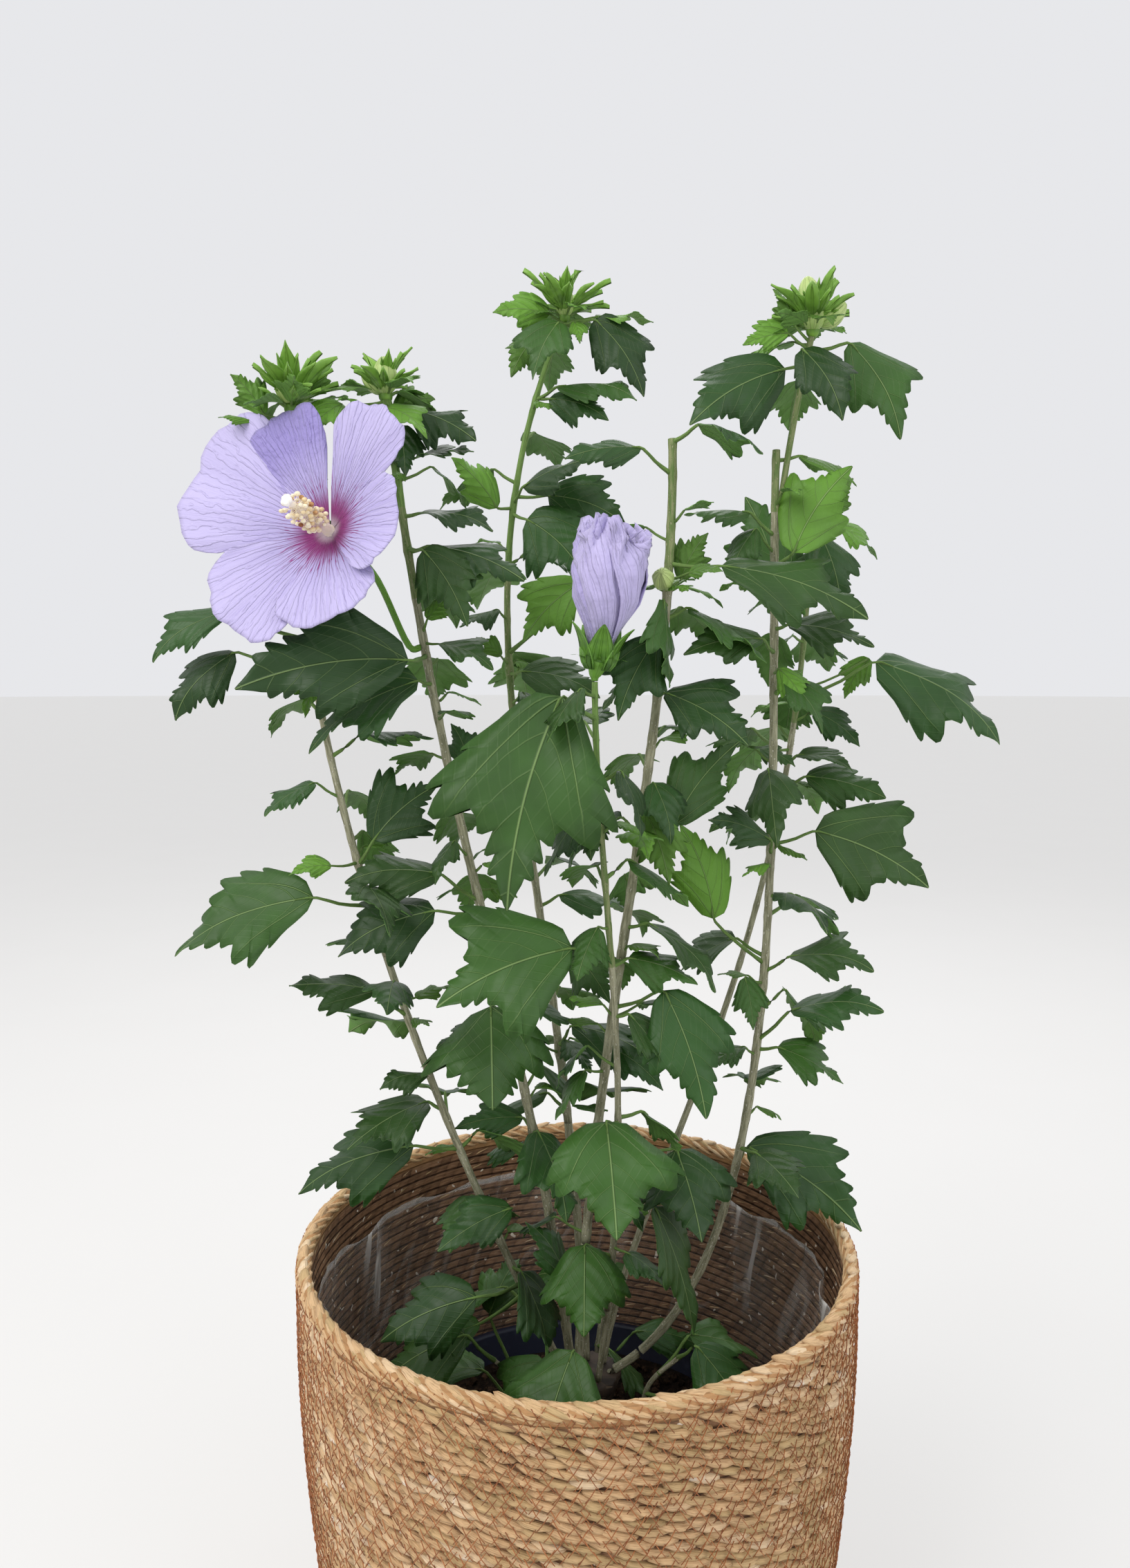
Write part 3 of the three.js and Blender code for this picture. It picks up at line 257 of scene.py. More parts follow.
# The open bloom: throat, facing, reach and depth of its petals, and each petal's bearing, spread in
# degrees, length, and how far it is raised over its neighbours
BLOOM_THROAT = np.array([-108.0, -58.0, 626.0])
BLOOM_FACING = np.array([-0.37, -0.885, 0.28]) / math.sqrt(0.37 ** 2 + 0.885 ** 2 + 0.28 ** 2)
BLOOM_REACH = 52
BLOOM_DEPTH = 13
BLOOM_JOINT = 577
PETALS = [
    (157, 36, 1.24, 0), (120, 26, 1.02, -1), (62, 27, 0.97, 0), (-4, 42, 0.73, 2), (-73, 40, 0.83, 0),
    (-132, 36, 0.97, 0),
]
COLUMN_LENGTH = 34
CALYX_LENGTH, CALYX_DEPTH, FURLED_CALYX_LENGTH = 16, 12.5, 22
# The furled bloom: its axis, how far round each petal wraps and how far it twists on its way up
FURLED_FOOT = np.array([8.0, -61.0, 565.0])
FURLED_TOP = np.array([16.0, -61.0, 629.0])
WRAP, TWIST = 170, 85


def seeded(seed):
    """The same whole numbers on every run."""
    state = seed

    def draw():
        nonlocal state
        state = state * 16807 % 2147483647
        return state / 2147483647

    return draw


def unit(vectors):
    """Vectors of length 1 in the same directions."""
    return vectors / np.linalg.norm(vectors, axis=-1, keepdims=True)


def direction(bearing, lift):
    """The way of a bearing round the upright axis and a lift over the level, both in degrees."""
    b, l = math.radians(bearing), math.radians(lift)
    return np.array([math.cos(b) * math.cos(l), math.sin(b) * math.cos(l), math.sin(l)])


def smooth(value, low, high):
    """Smooth rise from 0 at low to 1 at high."""
    share = np.clip((value - low) / (high - low), 0, 1)
    return share * share * (3 - 2 * share)


class Bezier:
    """A smooth curve with two handles, measured by a share from 0 to 1."""

    def __init__(self, *points):
        self.corners = np.array(points, float)

    def at(self, shares):
        t = np.asarray(shares, float)[..., None]
        a, b, c, d = self.corners
        return a * (1 - t) ** 3 + 3 * b * t * (1 - t) ** 2 + 3 * c * t * t * (1 - t) + d * t ** 3

    def way(self, shares):
        t = np.asarray(shares, float)
        return unit(self.at(np.minimum(t + 1e-4, 1)) - self.at(np.maximum(t - 1e-4, 0)))

    def share_at(self, rise):
        """Share at which a rising curve reaches a height."""
        low, high = 0.0, 1.0
        for _ in range(30):
            middle = (low + high) / 2
            low, high = (middle, high) if self.at(middle)[2] < rise else (low, middle)
        return low

    def length(self):
        return np.linalg.norm(np.diff(self.at(np.linspace(0, 1, 200)), axis=0), axis=1).sum()


class Spline(Bezier):
    """A smooth curve through all its points, with a knot spacing that follows their distances."""

    def at(self, shares):
        t = np.asarray(shares, float)
        return np.array([self._one(s) for s in t.ravel()]).reshape(t.shape + (3,))

    def _one(self, share):
        points = self.corners
        last = len(points) - 1
        place = share * last
        i = min(int(place), last - 1)
        weight = place - i
        p1, p2 = points[i], points[i + 1]
        p0 = points[i - 1] if i > 0 else 2 * points[0] - points[1]
        p3 = points[i + 2] if i + 2 <= last else 2 * points[last] - points[last - 1]
        d0, d1, d2 = (math.sqrt(np.linalg.norm(b - a)) for a, b in ((p0, p1), (p1, p2), (p2, p3)))
        t1 = ((p1 - p0) / d0 - (p2 - p0) / (d0 + d1) + (p2 - p1) / d1) * d1
        t2 = ((p2 - p1) / d1 - (p3 - p1) / (d1 + d2) + (p3 - p2) / d2) * d1
        square = -3 * p1 + 3 * p2 - 2 * t1 - t2
        cube = 2 * p1 - 2 * p2 + t1 + t2
        return p1 + t1 * weight + square * weight ** 2 + cube * weight ** 3


class Form:
    """The corners and faces of a shape made once with bmesh operators, to be laid down many times."""

    def __init__(self, bm):
        bmesh.ops.recalc_face_normals(bm, faces=bm.faces[:])
        bm.verts.index_update()
        self.points = np.array([v.co[:] for v in bm.verts])
        self.loops = np.array([v.index for f in bm.faces for v in f.verts])
        self.sizes = np.array([len(f.verts) for f in bm.faces])
        self.centres = np.array([f.calc_center_median()[:] for f in bm.faces])
        bm.free()


FORMS = {}


def form(maker, *sizes):
    """A form of those sizes, made on its first use."""
    key = (maker.__name__, *sizes)
    if key not in FORMS:
        bm = bmesh.new()
        maker(bm, *sizes)
        FORMS[key] = Form(bm)
    return FORMS[key]


def tube(bm, sides, steps):
    """A closed tube of radius 1 whose rings stand at the heights 0 to steps."""
    ring = bmesh.ops.create_circle(bm, cap_ends=False, segments=sides, radius=1)
    edges = list({e for v in ring["verts"] for e in v.link_edges})
    for _ in range(steps):
        out = bmesh.ops.extrude_edge_only(bm, edges=edges)["geom"]
        edges = [e for e in out if isinstance(e, bmesh.types.BMEdge)]
        bmesh.ops.translate(bm, verts=[v for v in out if isinstance(v, bmesh.types.BMVert)], vec=(0, 0, 1))
    bmesh.ops.holes_fill(bm, edges=[e for e in bm.edges if e.is_boundary], sides=sides)


def shell(bm, along, across):
    """A closed thin slab: x and y run from -1 to 1, its top at z 0 and its underside at z -1."""
    bmesh.ops.create_grid(bm, x_segments=along, y_segments=across, size=1)
    out = bmesh.ops.extrude_face_region(bm, geom=bm.faces[:])["geom"]
    bmesh.ops.translate(bm, verts=[v for v in out if isinstance(v, bmesh.types.BMVert)], vec=(0, 0, -1))


def ball(bm, sides, rings):
    """A ball of radius 1 with its poles on z."""
    bmesh.ops.create_uvsphere(bm, u_segments=sides, v_segments=rings, radius=1)


def crumb(bm):
    """A small stone with flat faces."""
    bmesh.ops.create_icosphere(bm, subdivisions=1, radius=1)


def sheet(rows, columns):
    """A shell's form, and for each corner its share along, its place across and whether it is below."""
    shape = form(shell, rows, columns)
    x, y, z = shape.points.T
    return shape, (x + 1) / 2, y, z < -0.5


def two_sided(shape, slot):
    """Material slots of a sheet: that slot on its top, and the next one under it and on its edges."""
    return np.where(shape.centres[:, 2] > -0.01, slot, slot + 1)


def layout(along, across):
    """Where corners lie on the surface that a paint is worked out for."""
    return np.stack([along, across], axis=1)


def ball_uv(shape):
    """Surface layout of a ball: U from pole to pole, V round it."""
    x, y, z = shape.points.T
    return layout((z + 1) / 2, np.arctan2(y, x) / math.tau + 0.5)


def round_points(turn, reach, height):
    """Points at a turn, a reach from the upright axis and a height."""
    return np.stack([np.cos(turn) * reach, np.sin(turn) * reach, height], axis=-1)


class Joined:
    """Many small shapes of one kind, gathered into one mesh."""

    def __init__(self, name):
        self.name = name
        self.count = 0
        self.corners, self.loops, self.sizes, self.uvs, self.tones, self.slots = ([] for _ in range(6))

    def add(self, shape, points, uv=None, tone=0.5, slots=0):
        """Lays down a form: points are (corners, 3), or (copies, corners, 3), in millimetres."""
        points = np.asarray(points, float)
        points = points[None] if points.ndim == 2 else points
        copies, corners, _ = points.shape
        starts = self.count + np.arange(copies) * corners
        flat = np.zeros((corners, 2)) if uv is None else np.asarray(uv, float)
        flat = np.broadcast_to(flat, (copies, corners, 2))
        self.corners.append(points.reshape(-1, 3))
        self.loops.append((starts[:, None] + shape.loops[None]).ravel())
        self.sizes.append(np.tile(shape.sizes, copies))
        self.uvs.append(flat[:, shape.loops].reshape(-1, 2))
        self.tones.append(np.repeat(np.broadcast_to(tone, copies), corners))
        self.slots.append(np.broadcast_to(slots, (copies, len(shape.sizes))).ravel())
        self.count += copies * corners

    def piece(self, materials, slot, nodes, round_faces=True):
        """Makes the mesh an object that rides on the part and stands for those nodes."""
        mesh = bpy.data.meshes.new(self.name)
        corners, loops, sizes = (np.concatenate(a) for a in (self.corners, self.loops, self.sizes))
        mesh.vertices.add(len(corners))
        mesh.vertices.foreach_set("co", np.clip(corners * MM, *CAD_BOX).ravel())
        mesh.loops.add(len(loops))
        mesh.loops.foreach_set("vertex_index", loops)
        mesh.polygons.add(len(sizes))
        mesh.polygons.foreach_set("loop_start", np.cumsum(sizes) - sizes)
        mesh.polygons.foreach_set("material_index", np.concatenate(self.slots).astype(np.int32))
        mesh.polygons.foreach_set("use_smooth", np.full(len(sizes), round_faces))
        mesh.update(calc_edges=True)
        mesh.uv_layers.new(name="surface").data.foreach_set("uv", np.concatenate(self.uvs).ravel())
        mesh.attributes.new("tone", "FLOAT", "POINT").data.foreach_set("value", np.concatenate(self.tones))
        for material in materials:
            mesh.materials.append(material)
        dress(bpy.data.objects.new(self.name, mesh), nodes)


def dress(piece, nodes):
    """Lets a piece ride on the part's body, and hides the solids of the nodes that it stands for."""
    bpy.context.collection.objects.link(piece)
    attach(piece, "root")
    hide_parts(*nodes)
    return piece


class Shade:
    """A shader value that takes part in Python expressions."""

    def __init__(self, paint, socket):
        self.paint, self.socket = paint, socket

    def __add__(self, other):
        return self.paint.maths("ADD", self, other)

    def __sub__(self, other):
        return self.paint.maths("SUBTRACT", self, other)

    def __rsub__(self, other):
        return self.paint.maths("SUBTRACT", other, self)

    def __mul__(self, other):
        return self.paint.maths("MULTIPLY", self, other)

    def __truediv__(self, other):
        return self.paint.maths("DIVIDE", self, other)


class Paint:
    """A material and the nodes in it."""

    def __init__(self, name):
        self.material = bpy.data.materials.new(name)
        self.material.use_nodes = True
        self.tree = self.material.node_tree
        self.tree.nodes.clear()

    def node(self, kind, settings=None, inputs=None):
        """A node of that type: its settings first, then the values or links of its sockets."""
        made = self.tree.nodes.new(kind)
        for name, value in (settings or {}).items():
            setattr(made, name, value)
        for name, value in (inputs or {}).items():
            if isinstance(value, Shade):
                self.tree.links.new(value.socket, made.inputs[name])
            else:
                made.inputs[name].default_value = value
        return made

    def value(self, kind, settings=None, inputs=None, output=0):
        return Shade(self, self.node(kind, settings, inputs).outputs[output])

    def maths(self, operation, first, second=0.0):
        return self.value("ShaderNodeMath", {"operation": operation}, {0: first, 1: second})

    def band(self, value, low, high):
        """Smooth rise from 0 at low to 1 at high."""
        return self.value(
            "ShaderNodeMapRange", {"interpolation_type": "SMOOTHSTEP"},
            {"Value": value, "From Min": low, "From Max": high},
        )

    def fall(self, value, low, high):
        """Smooth fall from 1 at low to 0 at high."""
        return 1 - self.band(value, low, high)

    def stripe(self, value, low, high):
        """1 halfway between whole numbers, falling to 0 between those distances from there."""
        return self.fall(self.maths("ABSOLUTE", self.maths("FRACT", value) - 0.5), low, high)

    def mix(self, share, first, second):
        settings = {"data_type": "RGBA", "blend_type": "MIX"}
        return self.value("ShaderNodeMix", settings, {0: share, 6: first, 7: second}, 2)

    def noise(self, scale, detail, vector=None):
        inputs = {"Scale": scale, "Detail": detail, "Vector": vector or self.place()}
        return self.value("ShaderNodeTexNoise", None, inputs)

    def vector(self, x, y, z=0.0):
        return self.value("ShaderNodeCombineXYZ", None, {"X": x, "Y": y, "Z": z})

    def place(self):
        return self.value("ShaderNodeTexCoord", None, None, "Object")

    def split(self, vector):
        made = self.node("ShaderNodeSeparateXYZ", None, {0: vector})
        return [Shade(self, output) for output in made.outputs]

    def uv(self):
        return self.split(self.value("ShaderNodeUVMap", {"uv_map": "surface"}))[:2]

    def tone(self):
        return self.value("ShaderNodeAttribute", {"attribute_name": "tone"}, None, "Fac")

    def finish(self, colour, roughness, height=None, depth=0.0005, **constants):
        """Ends the material: colour, roughness, the height for its bump, and constants of the shader."""
        inputs = {"Base Color": colour, "Roughness": roughness}
        if height is not None:
            inputs["Normal"] = self.value("ShaderNodeBump", None, {"Distance": depth, "Height": height})
        inputs.update({name.replace("_", " "): value for name, value in constants.items()})
        shader = self.node("ShaderNodeBsdfPrincipled", None, inputs)
        output = self.node("ShaderNodeOutputMaterial")
        self.tree.links.new(shader.outputs[0], output.inputs["Surface"])
        return self.material


def rgb(red, green, blue):
    """A colour as a screen shows it, from 0 to 255, in the shader's linear light."""
    channels = [c / 255 for c in (red, green, blue)]
    return (*[c / 12.92 if c <= 0.04045 else ((c + 0.055) / 1.055) ** 2.4 for c in channels], 1.0)


# Colours that the paints add to those of their pieces, and the height where the rim's crown begins
BLACK = rgb(0, 0, 0)
PALE_THROAT = rgb(240, 225, 236)
# Colour of the painted shade on the petal that lies under its neighbours
PETAL_SHADE = rgb(112, 96, 178)
STRAW_FLECK = rgb(240, 230, 216)
WALL_FLECK = rgb(232, 220, 204)
FLOOR_CLOUD = rgb(200, 200, 200)
FLOOR_GLOW = (1, 0.995, 0.985, 1)
CROWN_FOOT = 0.27


def leaf_paint(name, dark, light, vein, gloss):
    """Leaf skin: U runs along the midrib, V across it in blade lengths from 0.5."""
    p = Paint(name)
    along, side = p.uv()
    tone = p.tone()
    off = p.maths("ABSOLUTE", side - 0.5)
    warp = p.noise(40.0, 2.0) - 0.5
    midrib = p.fall(off, 0.002, 0.009)
    lobe_vein = p.fall(p.maths("ABSOLUTE", off - along * 0.62), 0.001, 0.008) * p.fall(along, 0.3, 0.5)
    ladder = p.maths("FRACT", (along - off * 0.6 - off * off * 2.4 + warp * 0.08) * 5.5 + tone * 3)
    away = p.maths("ABSOLUTE", ladder - 0.5)
    branch = p.fall(away, 0.01, 0.045) * p.fall(off, 0.08, 0.26)
    twig = p.stripe(off * 26 + along * 9 + warp * 0.8, 0.02, 0.12) * p.band(off, 0.02, 0.08)
    veins = p.maths("MAXIMUM", p.maths("MAXIMUM", midrib, lobe_vein * 0.7), branch * 0.32)
    cloud = p.noise(45.0, 3.0)
    colour = p.mix(p.band(cloud * 0.8 + tone * 0.7, 0.4, 1.1), dark, light)
    colour = p.mix(veins * 0.45 + twig * 0.02, colour, vein)
    height = p.band(away, 0.0, 0.5) * 0.3 + cloud * 0.5 - veins * 0.8 - twig * 0.06
    return p.finish(colour, p.noise(300.0, 2.0) * 0.14 + gloss, height, 0.0009, Specular_IOR_Level=0.38)


def petal_paint(name, pale, deep, eye, eye_reach, crumple):
    """Petal skin: U runs from the throat to the margin, V across."""
    p = Paint(name)
    along, side = p.uv()
    warp = p.noise(3.0, 2.0, p.vector(along * 2.0, side * 6.0, p.tone() * 20))
    vein = p.stripe(side * 19 + warp * 2.2, 0.02, 0.2)
    fine = p.noise(1.0, 3.0, p.vector(along * 3.0, side * 110.0, p.tone() * 9))
    colour = p.mix(p.band(fine * 0.6 + along * 0.35, 0.2, 0.62), deep, pale)
    colour = p.mix(vein * (1 - along) * 0.16, colour, deep)
    edge = along - vein * 0.13 * p.band(along, 0.05, 0.3) - warp * 0.06
    colour = p.mix(p.fall(edge, eye_reach * 0.4, eye_reach), colour, eye)
    colour = p.mix(p.fall(along, 0.03, 0.12) * 0.8, colour, PALE_THROAT)
    # A tone near 1, which the open bloom gives the petal that lies under its neighbours, adds painted shade
    # and a crumpled bump
    shade_and_crumple = p.band(p.tone(), 0.9, 1.0) * p.band(along, 0.25, 0.7)
    colour = p.mix(shade_and_crumple * 0.62, colour, PETAL_SHADE)
    paper = p.noise(230.0, 3.0) * (shade_and_crumple * 3 + crumple)
    height = fine * 0.5 - vein * 0.5 + paper
    return p.finish(colour, 0.62, height, 0.0006, Sheen_Weight=0.2, Sheen_Roughness=0.4)


def skin_paint(name, dark, light, scale, gloss):
    """A soft mottled skin, for anthers, thread and other small things."""
    p = Paint(name)
    cloud = p.noise(scale, 3.0)
    colour = p.mix(p.band(cloud * 0.7 + p.tone() * 0.5, 0.3, 0.8), dark, light)
    return p.finish(colour, cloud * 0.15 + gloss, cloud, 0.0004)


def ribbed_paint(name, dark, light, ribs):
    """Skin with pale ribs that run along U."""
    p = Paint(name)
    along, side = p.uv()
    rib = p.stripe(side * ribs, 0.05, 0.25)
    cloud = p.noise(220.0, 2.0)
    colour = p.mix(p.band(cloud + along * 0.4, 0.3, 0.9), dark, light)
    colour = p.mix(rib * 0.35, colour, light)
    return p.finish(colour, 0.5, rib + cloud * 0.4, 0.0004)


def bark_paint(name, dark, light, pore, pores=1.0):
    """Bark: U runs up the cane in millimetres, V round it."""
    p = Paint(name)
    along, side = p.uv()
    streak = p.noise(1.0, 4.0, p.vector(along * 0.12, side * 14.0, p.tone() * 9))
    spots = p.noise(1.0, 1.0, p.vector(along * 0.55, side * 16.0, 3.0))
    lenticel = p.band(spots, 0.62, 0.7) * pores
    colour = p.mix(p.band(streak, 0.3, 0.7), dark, light)
    colour = p.mix(lenticel, colour, pore)
    return p.finish(colour, 0.75, streak * 0.7 + lenticel, 0.0005)


def straw_paint(name, base, pale, green, brown):
    """Twisted dry grass: U runs along a strand, V round it, and tone deals out its colour."""
    p = Paint(name)
    along, side = p.uv()
    tone = p.tone()
    fibre = p.noise(1.0, 3.0, p.vector(along * 2.5, side * 22.0, tone * 60))
    blotch = p.noise(1.0, 2.0, p.vector(along * 2.0, side * 1.5, tone * 90))
    colour = p.mix(p.band(fibre, 0.1, 0.55), brown, base)
    colour = p.mix(p.band(tone, 0.52, 0.85) * 0.9, colour, pale)
    colour = p.mix(p.fall(tone, 0.1, 0.42) * 0.6, colour, green)
    colour = p.mix(p.band(blotch, 0.6, 0.68) * p.band(tone, 0.62, 0.8) * 0.75, colour, STRAW_FLECK)
    # Both ends of each strand turn brown as painted shade, where they tuck under their neighbours
    colour = p.mix(p.band(along, 0.86, 1.0) * 0.4 + p.fall(along, 0.0, 0.14) * 0.4, colour, brown)
    return p.finish(colour, 0.72, fibre + blotch * 0.4, 0.0008, Specular_IOR_Level=0.3)


def wall_paint(name, dark, light, crown, row_pitch, strand):
    """The basket's wall behind the strands and its inside: rows of slanted strands, worked out round it,
    with painted shade that darkens the gaps between rows and strands.
    """
    p = Paint(name)
    x, y, z = p.split(p.place())
    row = z / (row_pitch * MM)
    floor = p.maths("FLOOR", row)
    turn = p.maths("ARCTAN2", y, x) * (BASKET_RADIUS / strand)
    cell = turn + floor * 0.37 + (row - floor) * 0.35
    pick = p.value(
        "ShaderNodeTexWhiteNoise", {"noise_dimensions": "2D"},
        {"Vector": p.vector(p.maths("FLOOR", cell), floor)},
    )
    rope = p.maths("SINE", (row - floor) * math.pi)
    bulge = p.maths("SINE", p.maths("FRACT", cell) * math.pi) * 0.22 + p.band(rope, 0.0, 0.7) * 0.6
    fibre = p.noise(1.0, 3.0, p.vector(turn * 1.2, row * 5.0, z))
    # The colour darkens where the bulge falls to 0, in the gaps between rows and strands: painted shade
    colour = p.mix(p.band(bulge * 0.45 + fibre * 0.6 + pick * 0.3, 0.3, 1.15), dark, light)
    specks = p.noise(1.0, 1.0, p.vector(turn * 1.5, row * 0.8, 5.0))
    colour = p.mix(p.band(specks, 0.7, 0.72), colour, WALL_FLECK)
    colour = p.mix(p.band(z, CROWN_FOOT - MM, CROWN_FOOT + MM), colour, crown)
    return p.finish(colour, 0.85, bulge + fibre * 0.4, 0.0015, Specular_IOR_Level=0.2)


def film_paint(name, tint, alpha):
    """Clear film: thin and glossy, with painted reflection as white cover at grazing angles, in streaks,
    along its creases, which tone marks, and along sharp wrinkles; it is also whiter at its upper edge.
    """
    p = Paint(name)
    x, y, z = p.split(p.place())
    turn = p.maths("ARCTAN2", y, x)
    wrinkle = p.noise(1.0, 2.0, p.vector(turn * 3.0 + z * 9.0, z * 5.0, 0.0))
    sharp = p.band(p.maths("ABSOLUTE", wrinkle - 0.5), 0.0, 0.018)
    crease = p.tone()
    # How grazing the view is; the film whitens there as painted reflection
    edge = p.value("ShaderNodeLayerWeight", None, {"Blend": 0.3}, "Facing")
    shine = p.noise(1.0, 2.0, p.vector(turn * 17.0 + z * 22.0, z * 7.0, 3.0))
    streak = p.band(shine, 0.55, 0.6) * p.band(crease, 0.1, 0.5)
    # The white cover is painted reflection at grazing angles, along creases, in streaks and along sharp
    # wrinkles; alpha is the film's even haze
    cover = edge * edge * 0.2 + crease * 0.13 + streak * 0.42 + (1 - sharp) * (edge * 0.2 + 0.04)
    cover = cover + p.band(z, 0.247, 0.2485) * 0.2 + alpha
    return p.finish(tint, 0.08, wrinkle * 2 + sharp * 0.3, 0.006, Alpha=cover, Specular_IOR_Level=0.9)


def plastic_paint(name, base, scuff):
    """Moulded plastic with a little dust on it."""
    p = Paint(name)
    cloud = p.noise(40.0, 4.0)
    dust = p.band(p.noise(160.0, 5.0), 0.55, 0.8)
    return p.finish(p.mix(dust * 0.4, base, scuff), cloud * 0.2 + 0.35, cloud, 0.0004)


def soil_paint(name, dark, light):
    """Damp soil in grains and clods."""
    p = Paint(name)
    grain = p.noise(380.0, 4.0)
    clod = p.noise(90.0, 3.0)
    colour = p.mix(p.band(grain * 0.6 + clod * 0.5 + p.tone() * 0.3, 0.5, 0.95), dark, light)
    return p.finish(colour, 0.95, grain + clod, 0.002, Specular_IOR_Level=0.15)


def plain_paint(name, base, grain):
    """The floor: near plain, and lit a little from within so that it meets the backdrop."""
    p = Paint(name)
    cloud = p.noise(grain, 3.0)
    colour = p.mix(cloud * 0.08, base, FLOOR_CLOUD)
    return p.finish(colour, 0.85, cloud, 0.0002, Emission_Color=FLOOR_GLOW, Emission_Strength=0.36)


def section_axes(ways):
    """Two directions across each way of a curve."""
    reference = np.where(np.abs(ways[:, 2:3]) > 0.6, ACROSS, UP)
    side = unit(reference - ways * (reference * ways).sum(1, keepdims=True))
    return side, np.cross(side, ways)


def axes_across(way):
    """Two directions across one way."""
    side, other = section_axes(way[None])
    return side[0], other[0]


def tube_along(joined, centres, ways, radii, sides, slots=0, tone=0.5, relief=None):
    """A closed tube through rings at the centres. Relief adds to its radius by ring and by turn."""
    steps = len(centres) - 1
    shape = form(tube, sides, steps)
    ring = np.round(shape.points[:, 2]).astype(int)
    turn = np.arctan2(shape.points[:, 1], shape.points[:, 0])
    side, other = section_axes(ways)
    radius = np.asarray(radii, float)[ring]
    if relief is not None:
        radius = radius * (1 + relief(ring, turn))
    points = centres[ring]
    points = points + side[ring] * (np.cos(turn) * radius)[:, None]
    points = points + other[ring] * (np.sin(turn) * radius)[:, None]
    run = np.concatenate([[0], np.cumsum(np.linalg.norm(np.diff(centres, axis=0), axis=1))])
    uv = layout(run[ring], turn / math.tau + 0.5)
    if np.ndim(slots):
        rings = np.clip(shape.centres[:, 2], 0, steps - 1e-6).astype(int)
        slots = np.asarray(slots)[rings]
    joined.add(shape, points, uv, tone, slots)


def spoke(axes, turn):
    """The way at a turn round two axes."""
    return axes[0] * math.cos(turn) + axes[1] * math.sin(turn)


def taper(rings, places, radii):
    """Radii of evenly spaced rings, from the radii at some places between 0 and 1."""
    return np.interp(np.linspace(0, 1, rings), places, radii)


def add_stem(joined, path, radii, sides, slot=0, way=None):
    """A tube along a whole curve, with a ring for each radius, cut across the curve or across one way."""
    shares = np.linspace(0, 1, len(radii))
    ways = path.way(shares) if way is None else np.broadcast_to(way, (len(radii), 3))
    tube_along(joined, path.at(shares), ways, radii, sides, slot)


# Leaves: the rule of the solids, with blunt teeth, folds, waves and a finer outline

# Where the teeth of a margin begin and end along the blade, their sizes, and the outline of one tooth
TOOTH_ENDS = (0.155, 0.255, 0.37, 0.49, 0.61, 0.725, 0.83)
TOOTH_SIZES = (0.5, 0.75, 1.0, 0.65, 0.55, 0.45)
TOOTH = ((0.3, 0.35), (0.58, 0.85), (0.78, 1), (0.93, 0.7), (1, -0.15))


def margin_stations():
    """Places along a blade, and how far its margin stands out (tooth) or in (notch) at each."""
    rows = [(place, 0) for place in (0, 0.035, 0.075, 0.115, 0.155)]
    for low, high, size in zip(TOOTH_ENDS, TOOTH_ENDS[1:], TOOTH_SIZES):
        rows += [(low + (high - low) * share, size * height) for share, height in TOOTH]
    return np.array(rows + [(place, 0) for place in (0.865, 0.905, 0.945, 0.975, 1)])


TEETH = margin_stations()


def leaf_half_width(along, leaf):
    """Half-width over the blade's length: an oval with two side lobes and a waist beyond them."""
    oval = 1.08 * leaf["width"] * np.sin(math.pi * np.clip(along, 0, 1) ** 0.62) ** 0.58
    oval = oval * (1 - 0.15 * np.exp(-((along / 0.1) ** 2))) * (1 - 0.3 * smooth(along, 0.8, 1))
    oval = oval * (1 - leaf["sweep"] * 0.75 * smooth(along, 0.42, 0.56))
    lobe = leaf["lobe"] * np.exp(-(((along - 0.35) / 0.15) ** 2)) * np.minimum(1, along * 8)
    return oval + lobe


def blade_points(leaf, along, across):
    """Points and normals of a blade: along its midrib from 0 to 1, across it in blade lengths."""
    forward = direction(leaf["heading"], 0)
    curl, droop = math.radians(LEAF_CURL), math.radians(leaf["droop"])
    swept = along + leaf["sweep"] * np.abs(across) * np.sin(math.pi * np.clip(along, 0, 1))
    pitch = (droop + curl * swept)[:, None]
    ahead, sunk = np.sin(pitch) - math.sin(droop), np.cos(pitch) - math.cos(droop)
    midrib = forward * ahead / curl + UP * sunk / curl
    tangent = forward * np.cos(pitch) - UP * np.sin(pitch)
    level = forward * np.sin(pitch) + UP * np.cos(pitch)
    roll = math.radians(leaf["roll"])
    normal = level * math.cos(roll) + np.cross(tangent, level) * math.sin(roll)
    side = np.cross(tangent, normal)
    bend = math.radians(LEAF_CUP) / CUP_REACH
    arc = (bend * across)[:, None]
    points = (midrib + side * np.sin(arc) / bend + normal * (np.cos(arc) - 1) / bend) * leaf["length"]
    lean = unit(normal * np.cos(arc) + side * np.sin(arc))
    return points + leaf["base"], lean


def leaf_from_row(joint, row, draw):
    """A leaf at a joint, by its row in the tables above and the seeded rule of the solids."""
    _, bearing, reach, lift, heading, droop, length, roll = row[:8]
    broad = row[8] if len(row) > 8 else 1
    base = joint + direction(bearing, lift) * reach
    width = broad * LEAF_WIDTH * (0.9 + 0.3 * draw())
    lobe = broad * LOBE_WIDTH * (0.6 + 0.8 * draw())
    sweep = 0.25 + 0.3 * draw()
    return dict(
        joint=joint, base=base, heading=heading, droop=droop, length=length, roll=roll, width=width,
        lobe=lobe, sweep=sweep,
    )


